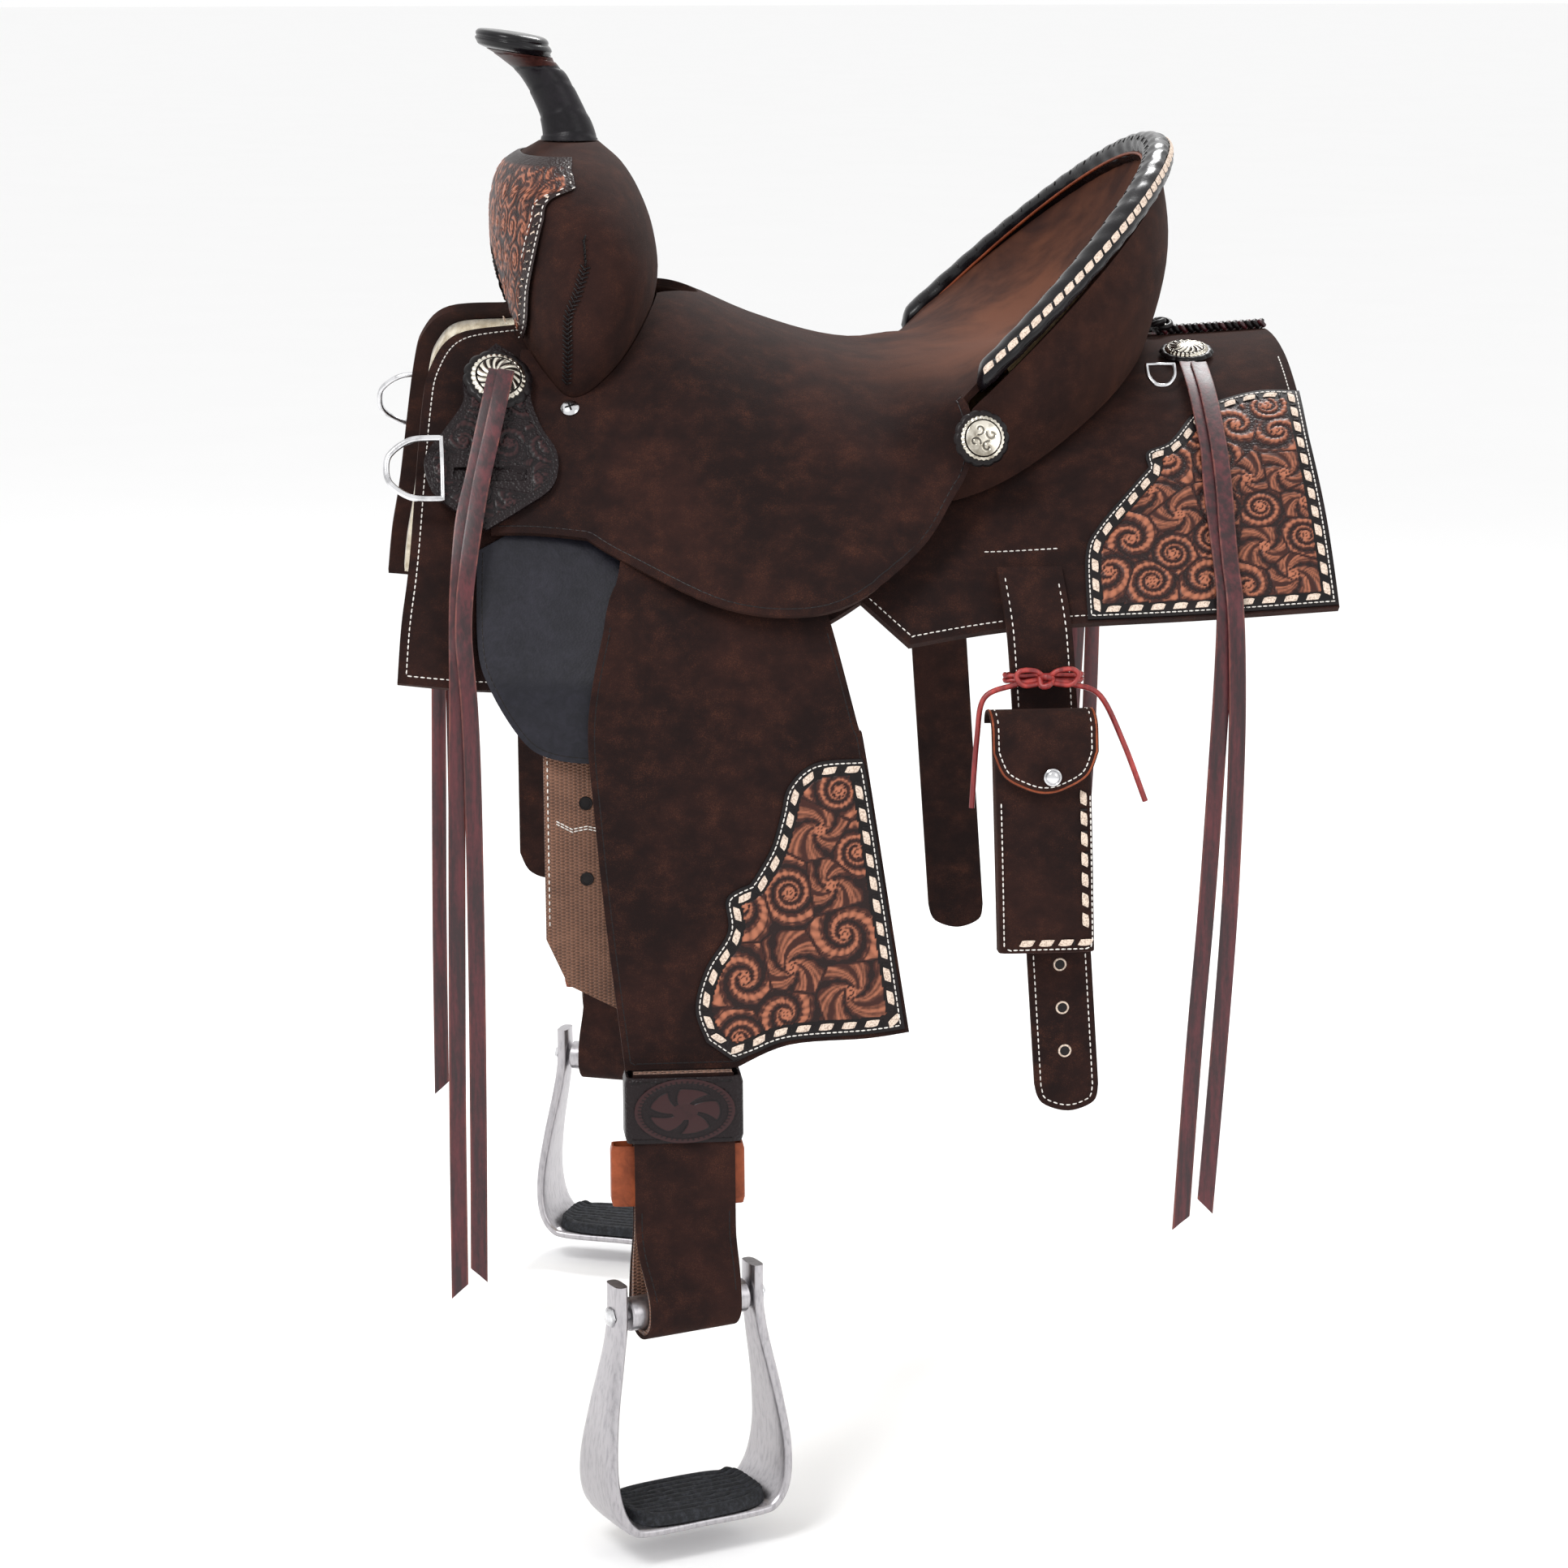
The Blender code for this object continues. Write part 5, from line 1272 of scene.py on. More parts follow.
def make_cantle():
    steps, around = 300, 28
    bm = new_piece()

    def roll(a, b):
        angle = math.radians(3 + 174 * a)
        turn = 2 * math.pi * b
        centre = roll_centre(angle)
        out = Vector((math.sin(angle), -math.cos(angle), 0)).normalized()
        pinch = math.exp(-((a - 0.5) / 0.12) ** 2)
        fold = 0.0007 * pinch * math.cos(a * 320) * max(0.0, math.cos(turn))
        fold += 0.0003 * math.sin(a * 190 + 3 * turn)
        end = min(1.0, math.sqrt(max(0.0, (1 - abs(2 * a - 1)) / 0.015)))
        radius = (ROLL_RADIUS + fold) * max(end, 0.02)
        return centre + out * radius * math.cos(turn) + Vector((0, 0, radius * math.sin(turn)))

    grid(bm, steps, around, roll)
    turn_out(bm)
    finished("cantle_roll_binding", bm, "saddle", ["roll"], ["cantle_roll"], sharp=180)

    def on_roll(turn, lift=0.0):
        def place(s, spread):
            angle = s / 0.27
            centre = roll_centre(angle)
            out = Vector((math.sin(angle), -math.cos(angle), 0)).normalized()
            at = turn + spread / ROLL_RADIUS
            return centre + (out * math.cos(at) + Vector((0, 0, math.sin(at)))) * (ROLL_RADIUS + lift)
        return place

    span = [(0.27 * math.radians(5 + 170 * k / 60), 0.0) for k in range(61)]
    face, low = on_roll(math.radians(30), 0.0001), on_roll(math.radians(-20), 0.0001)
    inside = on_roll(math.radians(142))
    halfway = [(s + 0.0067, t) for s, t in span[:-1]]
    sewn("cantle_roll_lacing", "saddle", [
        (LACE, face, span, 0.0134, 1), (SLIT, face, halfway, 0.0134, 2), (SLIT_LINE, low, span, 0.0052, 2),
        (SLIT, inside, span, 0.0125, 2)])
    angles = [math.radians(4 + 172 * k / 160) for k in range(161)]
    rim = [roll_centre(a) - Vector((math.sin(a), -math.cos(a), 0.1)) * ROLL_RADIUS * 0.97
           + Vector((0, 0, -0.0035)) for a in angles]
    wire("cantle_inner_edge", rim, 0.0011, "sleeve", "saddle", sides=8)

    def back(lift):
        def place(angle, t):
            top = roll_centre(angle)
            out = Vector((math.sin(angle), -math.cos(angle), 0)).normalized()
            head = top + out * 0.003 - Vector((0, 0, ROLL_RADIUS + 0.004))
            foot_x = 0.103 + 0.151 * math.sin(angle) - 0.022 * math.cos(angle) ** 4
            foot_y = -0.181 * math.cos(angle)
            foot = SKIRTS.point(foot_x, foot_y, 0.0062)
            across = Vector((out.x, out.y, 0.25)).normalized()
            belly = 0.010 * math.sin(math.pi * t) * (0.4 + 0.6 * math.sin(angle))
            return head.lerp(foot, t) + across * (belly + lift)
        return place

    low, high = math.radians(2), math.radians(178)
    loop = [(low, 0.0), (high, 0.0), (high, 1.0), (low, 1.0)]
    bm = laid(new_piece(), loop, back(0.0), back(-0.004), (math.radians(3.0), 0.09), 0, 0, tone=0.12)
    finished("cantle_back_leather", bm, "saddle", ["rough"], ["cantle_back"])


# ------------------------------------------------------------------ swell, gullet plate and horn
PLATE_EDGE = [(0.1885, -0.142), (0.1850, -0.1470), (0.1795, -0.1515), (0.1735, -0.1532), (0.1664, -0.1475),
              (0.1565, -0.1692), (0.1430, -0.1745), (0.1290, -0.1785), (0.1000, -0.1845), (0.0740, -0.1865),
              (0.0560, -0.1900), (0.0200, -0.1905)]


def swell_cut(name, sections, finishes, replaced, cutters):
    obj = loose(name + "_block", ring_bm(sections), finishes[0])
    mesh = cut(obj, *cutters, finish="edge")
    bpy.data.objects.remove(obj)
    return dress(name, mesh, "saddle", finishes, replaced)


def plate_angle(z, edge_x, grow=0.0036):
    """The angle on the near side of the swell where it reaches an x."""
    low, high = math.pi, 1.5 * math.pi
    for _ in range(30):
        middle = (low + high) / 2
        if swell_point(middle, z, grow).x < edge_x:
            low = middle
        else:
            high = middle
    return low


def make_swell():
    cutters = [loose("core", ring_bm(swell_sections(-0.004, 3, 60))), gullet_cutter(), ground_cutter(0.0035)]
    swell_cut("swell_leather", swell_sections(0.0), ["rough", "edge"], ["swell_cover"], cutters)

    flip = sorted((z, x) for z, x in PLATE_EDGE)
    line = lambda z: curve_through(flip, z)[0]
    z_low, z_high = 0.040, 0.1815

    def at(lift):
        def place(s, z):
            edge = plate_angle(z, line(z))
            angle = math.pi + (edge - math.pi) * s
            point = swell_point(angle, z, lift)
            return point
        return place

    pattern = tooling([(0.03 + 0.025 * i + 0.012 * (j % 2), 0.05 + 0.022 * j) for i in range(8)
                       for j in range(7)])
    columns, rows = 2 * 96, 118
    bm = new_piece()

    def relief(s, z):
        front = swell_point(math.pi + (plate_angle(z, line(z)) - math.pi) * abs(s), z, 0.0036)
        margin = (1 - abs(s)) * abs(plate_angle(z, line(z)) - math.pi) * 0.075
        top = z_high - z
        border = smooth_step(0.0090, 0.0105, min(margin, top + 0.004))
        return pattern(abs(front.y) + front.x + 0.2, z) * border

    def shape(a, b):
        s, z = 2 * a - 1, z_low + (z_high - z_low) * b
        point = at(0.0036 + 0.0009 * relief(s, z))(abs(s), z)
        point.y = math.copysign(point.y, s) if abs(s) > 1e-6 else 0.0
        return point

    def tone(a, b):
        return relief(2 * a - 1, z_low + (z_high - z_low) * b)

    grid(bm, columns, rows, shape, tone)
    inner = bmesh.ops.extrude_face_region(bm, geom=bm.faces[:], use_keep_orig=True)
    for v in points_in(inner):
        flat = Vector((v.co.x + 0.15, v.co.y, 0))
        v.co -= flat.normalized() * 0.0030
    bmesh.ops.recalc_face_normals(bm, faces=bm.faces)
    obj = loose("plate_block", bm, "tooled")
    mesh = cut(obj, gullet_cutter(), ground_cutter(0.014), finish="black")
    bpy.data.objects.remove(obj)
    dress("gullet_plate_leather", mesh, "saddle", ["tooled", "black"], ["gullet_plate"])

    def near(lift):
        def place(back, z):
            return swell_point(plate_angle(z, line(z) - back * 0.75), z, lift)
        return place

    lace = [(0.0062, 0.048 + (0.180 - 0.048) * k / 60) for k in range(61)]
    white = [(0.0022, z) for _, z in lace]
    second = [(0.0102, 0.120 + 0.055 * k / 20) for k in range(21)]
    raised = near(0.0038)
    sewn("gullet_plate_stitching_left", "saddle", [
        (LACE, raised, lace, 0.0118, 1), (SLIT, raised, [(b, z + 0.0059) for b, z in lace[:-4]], 0.0118, 2),
        (THREAD, raised, white, 0.0040, 0), (THREAD, raised, second, 0.0040, 0)])

    def side(lift):
        def place(x, z):
            return swell_point(plate_angle(z, x, 0.0), z, lift)
        return place

    seam = smooth_run([(-0.143, 0.132), (-0.1535, 0.0986), (-0.160, 0.082), (-0.1605, 0.056),
                       (-0.161, 0.033)], 8)
    cross = []
    for k, (p, way) in enumerate(spaced(seam, 0.0031)):
        matrix = standing(side(0.0006), *p, way)
        for turn, shift in ((0.95, -0.0012), (-0.95, 0.0012)):
            cross.append(matrix @ Matrix.Translation((0, shift, 0)) @ Matrix.Rotation(turn, 4, "Z"))
    bm = stamped(new_piece(), bead_shape(0.0062, 0.0015, 0.0016), cross)
    finished("herringbone_lace_left", bm, "saddle", ["black"], sharp=60)


def wrapped(stations, tilt, steps=5, around=48, ripple=0.0, turns=0):
    """Ellipses along the horn, with the ridges of a wrapped strap."""
    rows = [(x, z, long, wide, angle) for (x, z, long, wide), angle in zip(stations, tilt)]
    fine = smooth_run(rows, steps) + [rows[-1]]
    sections = []
    for k, (x, z, long, wide, angle) in enumerate(fine):
        turn = Matrix.Rotation(math.radians(angle), 3, "Y")
        ring = []
        for j in range(around):
            a = 2 * math.pi * j / around
            phase = (k / (len(fine) - 1) * turns + 0.35 * math.sin(a) + j / around) % 1.0
            grow = 1 + (ripple * (phase ** 0.5 - 0.5)) if turns else 1
            spoke = Vector((long * grow * math.cos(a), wide * grow * math.sin(a), 0))
            ring.append(Vector((x, 0, z)) + turn @ spoke)
        sections.append(ring)
    return ring_bm(sections)


def make_horn():
    neck = [(-0.1495, 0.1897, 0.0195, 0.0200), (-0.1510, 0.1980, 0.0172, 0.0176),
            (-0.1560, 0.2120, 0.0148, 0.0152), (-0.1630, 0.2270, 0.0140, 0.0146),
            (-0.1700, 0.2370, 0.0142, 0.0156), (-0.1775, 0.2440, 0.0182, 0.0200),
            (-0.1835, 0.2490, 0.0225, 0.0245)]
    bm = wrapped(neck, [0, -10, -22, -22, -8, 4, 8.5], 9, 56, 0.06, 5)
    for face in bm.faces:
        face.material_index = 1 if face.calc_center_median().z > 0.2405 else 0
    finished("horn_neck_wrap", bm, "saddle", ["horn", "horn_under"], ["horn_neck"], sharp=60)
    cap = [(-0.1842, 0.2497, 0.0232, 0.0256), (-0.1866, 0.2515, 0.0250, 0.0282),
           (-0.1868, 0.2537, 0.0262, 0.0296), (-0.1878, 0.2560, 0.0262, 0.0298),
           (-0.1880, 0.2575, 0.0250, 0.0286), (-0.1881, 0.2590, 0.0254, 0.0290),
           (-0.1882, 0.2608, 0.0246, 0.0282), (-0.1884, 0.2625, 0.0215, 0.0250),
           (-0.1886, 0.2634, 0.0120, 0.0140), (-0.1886, 0.2636, 0.0010, 0.0012)]
    finished("horn_cap_leather", wrapped(cap, [8.5] * len(cap), 5, 72), "saddle", ["roll"], ["horn_cap"],
             sharp=70)


def make_spine():
    """Braided lacing that joins the skirts behind the cantle, with a knot."""
    x0, x1 = 0.2640, 0.3425
    for k in range(3):
        line = []
        for j in range(121):
            t = j / 120
            x = x0 + (x1 - x0) * t
            phase = t * 2 * math.pi * 5.5 + k * 2 * math.pi / 3
            z = skirt_height(x, 0) + 0.0032 + 0.0016 * math.sin(2 * phase)
            line.append((x, 0.0040 * math.sin(phase), z))
        wire(f"spine_braid_{k}", line, 0.0019, "string" if k == 1 else "black", "saddle", sides=8,
             replaces=["skirt_lacing"] if k == 0 else ())
    knot = []
    for j in range(97):
        a = 2 * math.pi * j / 96
        knot.append((0.2660 + (0.0065 + 0.0030 * math.cos(3 * a)) * math.cos(2 * a),
                     (0.0065 + 0.0030 * math.cos(3 * a)) * math.sin(2 * a),
                     skirt_height(0.2660, 0) + 0.0080 + 0.0024 * math.sin(3 * a)))
    wire("spine_knot", knot[:-1], 0.0022, "black", "saddle", True, 8)


# ------------------------------------------------------------------ billets, pouch and thong
def make_billets():
    low = -0.425
    loop = outline([(0.1175, -0.0785), (0.1175, low)],
                   [(0.1175, low), (0.1215, low - 0.012), (0.139, low - 0.018), (0.1565, low - 0.012),
                    (0.1605, low)], [(0.1605, low), (0.1605, -0.0785)],
                   [(0.1605, -0.0785), (0.1175, -0.0785)])
    place = lambda lift: beside(BILLET_LINE, lift, BILLET_LEAN)
    bm = laid(new_piece(), loop, place(0.0), place(-0.0045), (0.011, 0.011), 0.0016)
    straps = finished("flank_billet_leather_left", bm, "billet_left", ["rough", "edge"],
                      ["flank_billet_left"])
    inner = inset_line(loop, 0.0040)
    line = [p for p in inner if p[1] < -0.084]
    rows = [(THREAD, place(0.0001), part, 0.0044, 0) for part in split_line(line)]
    sewn("flank_billet_stitching_left", "billet_left", rows)
    eyes = [(0.139, z) for z in (-0.3415, -0.3713, -0.4012)]
    holes("flank_billet_holes_left", "billet_left", place, eyes, 0.0033, 0.0)
    return straps


def holes(name, body, place, spots, radius, lift, rim="lace", twin=True):
    """Punched holes, not cut through: a dark sunk disc, painted shade in place of the hole's depth, inside a
    pale raised rim.
    """
    bm = new_piece()
    for spot in spots:
        matrix = standing(place(lift + 0.0001), *spot, (1, 0))
        start = len(bm.verts)
        profile = [(0, 0.0001), (radius, 0.0001), (radius * 1.02, 0.0006), (radius * 1.22, 0.0007),
                   (radius * 1.36, 0.0001)]
        spare = bmesh.new()
        spun(spare, profile, 24)
        mesh = bpy.data.meshes.new("eye")
        spare.to_mesh(mesh)
        spare.free()
        bm.from_mesh(mesh)
        bm.verts.ensure_lookup_table()
        bmesh.ops.transform(bm, matrix=matrix, verts=bm.verts[start:])
    for face in bm.faces:
        face.material_index = 0
    centres = [standing(place(lift), *spot, (1, 0)).translation for spot in spots]
    # the disc inside each rim takes the dark edge finish: painted shade where the open hole would be
    for face in bm.faces:
        if min((face.calc_center_median() - c).length for c in centres) < radius * 0.9:
            face.material_index = 1
    return finished(name, bm, body, [rim, "edge"], twin=twin, sharp=40)


def pouch_sections(grow, levels):
    y_back, y_front = -0.2660 + grow, -0.2865 - grow
    x0, x1, lean = 0.1085 - grow, 0.1720 + grow, 0.035
    sections = []
    for z, swell in levels:
        shift = -lean * (z + 0.20)
        ring = []
        front = y_front - swell
        for k in range(52):
            a = 2 * math.pi * (k + 0.5) / 52
            c, s = math.cos(a), math.sin(a)
            size = (abs(c) ** 7 + abs(s) ** 7) ** (-1 / 7)
            ring.append(Vector(((x0 + x1) / 2 + (x1 - x0) / 2 * size * c + shift,
                                (y_back + front) / 2 + (y_back - front) / 2 * size * s, z)))
        sections.append(ring)
    return sections


def make_pouch():
    levels = [(-0.3272, -0.0030), (-0.3262, -0.0005)]
    levels += [(-0.324 + 0.0148 * k, 0.0024 * math.sin(math.pi * k / 10)) for k in range(11)]
    body = loose("pouch_block", ring_bm(pouch_sections(0.0, levels)), "rough")
    room = [(-0.3247, 0.0), (-0.15, 0.0)]
    mesh = cut(body, loose("room", ring_bm(pouch_sections(-0.0025, room))), finish="edge")
    bpy.data.objects.remove(body)
    mesh.materials.clear()
    dress("pouch_leather", mesh, "billet_left", ["rough", "edge"], ["pouch"], sharp=50)
    front = lambda lift: (lambda x, z: Vector((x - 0.035 * (z + 0.20), -0.2865 - 0.0024 * max(0.0, math.sin(
        math.pi * (z + 0.324) / 0.148)) - lift, z)))
    side = [(0.1655, -0.222 - 0.0026 * k) for k in range(38)]
    bottom = [(0.1655 - 0.0026 * k, -0.3195) for k in range(21)]
    edge = [(0.1700, -0.222)] + [(0.1700, -0.318), (0.1690, -0.3228), (0.1655, -0.3240), (0.1150, -0.3240),
                                 (0.1110, -0.3225)]
    left = [(0.1112, -0.3200), (0.1112, -0.222)]
    sewn("pouch_stitching", "billet_left", [
        (LACE, front(0.0004), side, 0.0145, 1), (LACE, front(0.0004), bottom, 0.0145, 1),
        (SLIT, front(0.0004), side[3:], 0.0145, 2), (SLIT, front(0.0004), bottom[3:], 0.0145, 2),
        (THREAD, front(0.0004), edge, 0.0040, 0), (THREAD, front(0.0004), left, 0.0040, 0)])

    def flap(lift):
        def place(x, s):
            reach, radius = -0.2665, 0.0125
            if s < 0.026:
                turn = math.pi * s / 0.026
                out = Vector((0, math.cos(turn), math.sin(turn) * 0.75))
                point = Vector((0, reach - radius - 0.0012, -0.1755)) + Vector(
                    (0, radius * 1.12 * math.cos(turn), 0.0095 * math.sin(turn)))
            else:
                out = Vector((0, -1, 0))
                point = Vector((0, reach - radius * 2.12 - 0.0012, -0.1755 - (s - 0.026)))
            return Vector((x - 0.035 * (point.z + 0.20), 0, 0)) + point + out * lift
        return place

    loop = outline([(0.1050, 0.0), (0.1050, 0.040)],
                   [(0.1050, 0.040), (0.1120, 0.0560), (0.1270, 0.0650), (0.1400, 0.0680), (0.1530, 0.0650),
                    (0.1680, 0.0560), (0.1750, 0.040)],
                   [(0.1750, 0.040), (0.1750, 0.0)], [(0.1750, 0.0), (0.1050, 0.0)])
    bm = laid(new_piece(), loop, flap(0.0026), flap(0.0004), (0.005, 0.0021), 0.0012)
    finished("pouch_flap_leather", bm, "pouch_lid", ["rough", "edge"], ["pouch_flap"])
    pipe = [flap(0.0020)(*p) for p in inset_line(loop, 0.0012) if p[1] > 0.003]
    piping = [p for part in split_line([(q.x, q.y, q.z) for q in pipe], 0.012) for p in part]
    wire("pouch_flap_piping", piping, 0.0009, "sleeve", "pouch_lid", sides=8)
    line = [p for p in inset_line(loop, 0.0045) if p[1] > 0.004]
    sewn("pouch_flap_stitching", "pouch_lid",
         [(THREAD, flap(0.0027), part, 0.0040, 0) for part in split_line(line)])
    bm = new_piece()
    spun(bm, [(0, 0.0030), (0.0020, 0.0029), (0.0036, 0.0023), (0.0044, 0.0012), (0.0050, 0.0016),
              (0.0058, 0.0010), (0.0058, 0.0)], 48)
    bmesh.ops.transform(bm, matrix=frame_at(Vector((0.1440, -0.2993, -0.2055)), Vector((0, -1, 0))),
                        verts=bm.verts)
    finished("pouch_snap_cap", bm, "pouch_lid", ["steel"], ["pouch_snap"])


def make_thong():
    """A thong round the billet over the pouch, tied in a bow with two hanging tails."""
    x0, x1, front, back = 0.1190, 0.1686, -0.2640, -0.2552
    path = smooth_run([(x0 + 0.006, front), (x0, front + 0.003), (x0, back - 0.002), (x0 + 0.006, back),
                       (x1 - 0.006, back), (x1, back - 0.002), (x1, front + 0.003), (x1 - 0.006, front),
                       (x0 + 0.006, front)], 5)
    for level in (-0.1482, -0.1450):
        loop = [Vector((x, y, level + 0.0004 * math.sin(k * 0.9))) for k, (x, y) in enumerate(path)]
        wire(f"thong_band_{'a' if level < -0.147 else 'b'}", loop, 0.0016, "thong", "billet_left", True, 8)
    tails = [[(0.1440, -0.2665, -0.1465), (0.1330, -0.2690, -0.1476), (0.1220, -0.2690, -0.1500),
              (0.1030, -0.2700, -0.1580), (0.0985, -0.2700, -0.1850), (0.0955, -0.2700, -0.2310)],
             [(0.1440, -0.2665, -0.1465), (0.1540, -0.2690, -0.1480), (0.1620, -0.2690, -0.1500),
              (0.1800, -0.2700, -0.1580), (0.1960, -0.2700, -0.1900), (0.2110, -0.2700, -0.2290)]]
    for name, route in zip(("thong_tail_a", "thong_tail_b"), tails):
        points = smooth_run(route, 8) + [route[-1]]
        length = sum(math.dist(a, b) for a, b in zip(points, points[1:]))
        made = wire(name, points, 0.0019, "thong", "billet_left", sides=8,
                    replaces=["thong_tie"] if name == "thong_tail_a" else ())[0]
        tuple(points[0])
    loops = [[(0.1440, -0.2690, -0.1465), (0.1370, -0.2715, -0.1405), (0.1270, -0.2715, -0.1400),
              (0.1240, -0.2715, -0.1445), (0.1300, -0.2715, -0.1500), (0.1440, -0.2690, -0.1480)],
             [(0.1440, -0.2690, -0.1465), (0.1510, -0.2715, -0.1405), (0.1610, -0.2715, -0.1395),
              (0.1650, -0.2715, -0.1440), (0.1590, -0.2715, -0.1500), (0.1440, -0.2690, -0.1480)],
             [(0.1400, -0.2690, -0.1440), (0.1440, -0.2735, -0.1440), (0.1478, -0.2700, -0.1460),
              (0.1450, -0.2735, -0.1495), (0.1405, -0.2720, -0.1500), (0.1400, -0.2690, -0.1440)]]
    for name, route in zip(("thong_bow_a", "thong_bow_b", "thong_knot"), loops):
        wire(name, smooth_run(route, 8) + [route[-1]], 0.0017 if name != "thong_knot" else 0.0021, "thong",
             "billet_left", sides=8)


# ------------------------------------------------------------------ saddle strings
def ribbon_bm(points, widths, thick, ends=0.0, curl=0.12):
    """A flat thong along points: its broad faces look sideways, its edges are cut pale."""
    sections = []
    for k, point in enumerate(points):
        ahead = points[min(k + 1, len(points) - 1)] - points[max(k - 1, 0)]
        out = ahead.cross(Vector((1, 0, 0))).normalized()
        across = out.cross(ahead).normalized()
        w, t = widths[k] / 2, thick / 2
        ring = []
        for a, b in ((-1, -0.55), (-0.82, -1), (0.0, -1), (0.82, -1), (1, -0.55), (1, 0.55), (0.82, 1),
                     (0.0, 1), (-0.82, 1), (-1, 0.55)):
            slant = ahead.normalized() * (a * w * ends) if k == len(points) - 1 else Vector()
            ring.append(point + across * a * w + out * (b * t + curl * w * a * a) + slant)
        sections.append(ring)
    bm = ring_bm(sections)
    for face in bm.faces:
        median = face.calc_center_median()
        near = min(range(len(points)), key=lambda k: (points[k] - median).length_squared)
        off = (median - points[near])
        if abs(off.x) > widths[near] / 2 * 0.88 or near == len(points) - 1 and face.normal.z < -0.6:
            face.material_index = 1
    return bm


def make_strings():
    front = [(-0.2075, 0.1330, 0.0262), (-0.2120, 0.1470, 0.0250), (-0.2180, 0.1640, 0.0215),
             (-0.2235, 0.1780, 0.0200), (-0.2285, 0.1920, 0.0200), (-0.2320, 0.2060, 0.0185),
             (-0.2345, 0.2170, 0.0140), (-0.2360, 0.2270, 0.0100), (-0.2365, 0.2350, 0.0075)]
    front_fall = [(-0.2365, -0.2465, -0.1650), (-0.2365, -0.2470, -0.2200), (-0.2365, -0.2470, -0.3300),
                  (-0.2365, -0.2470, -0.4400), (-0.2365, -0.2470, -0.5480)]
    rear = [(0.2735, 0.0900, 0.0058), (0.2735, 0.1180, 0.0056), (0.2730, 0.1450, 0.0054),
            (0.2725, 0.1700, 0.0054), (0.2715, 0.1930, 0.0054), (0.2705, 0.2150, 0.0054),
            (0.2695, 0.2350, 0.0056), (0.2680, 0.2510, 0.0062)]
    rear_fall = [(0.2660, -0.2650, -0.1400), (0.2645, -0.2670, -0.2000), (0.2615, -0.2670, -0.3000),
                 (0.2565, -0.2670, -0.4000), (0.2505, -0.2670, -0.5100)]
    for part, lying, fall, over, under, spread in (("front", front, front_fall, 0.0042, -0.0036, 0.0048),
                                                   ("rear", rear, rear_fall, 0.0050, -0.0046, 0.0076)):
        for which, start, end, swing in (("a", over, 0.0034 + spread / 2, 1),
                                         ("b", under, -0.0036 - spread / 2, -1)):
            last = len(lying) + len(fall) - 1
            route = [SKIRTS.point(x, -y, lift) for x, y, lift in lying] + [Vector(p) for p in fall]
            shifted = []
            for k, point in enumerate(route):
                t = k / last
                wave = 0.0016 * math.sin(3.1 * t * math.pi + (0 if swing > 0 else 1.4)) * (t > 0.3)
                offset = start * 0.75 * (1 - smooth_step(0.1, 0.6, t)) + wave
                offset += end * smooth_step(0.1, 1.0, t)
                tip = 0.012 * swing * (k == last)
                shifted.append(point + Vector((offset, -0.0016 * swing, tip if swing < 0 else 0.0)))
            fine = [Vector(p) for p in smooth_run([tuple(p) for p in shifted], 9)] + [shifted[-1]]
            widths = [0.0112] * len(fine)
            bm = ribbon_bm(fine, widths, 0.0024, 0.9 * swing)
            name = f"{part}_string_{which}_left"
            made = finished(name, bm, "saddle", ["string", "string_edge"],
                            [f"{part}_strings_left"] if which == "a" else (), sharp=50)
            for piece, side in zip(made, (1, -1)):
                path = [(p.x, p.y * side, p.z) for p in fine]
                length = sum(math.dist(a, b) for a, b in zip(path, path[1:]))
                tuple(path[0])


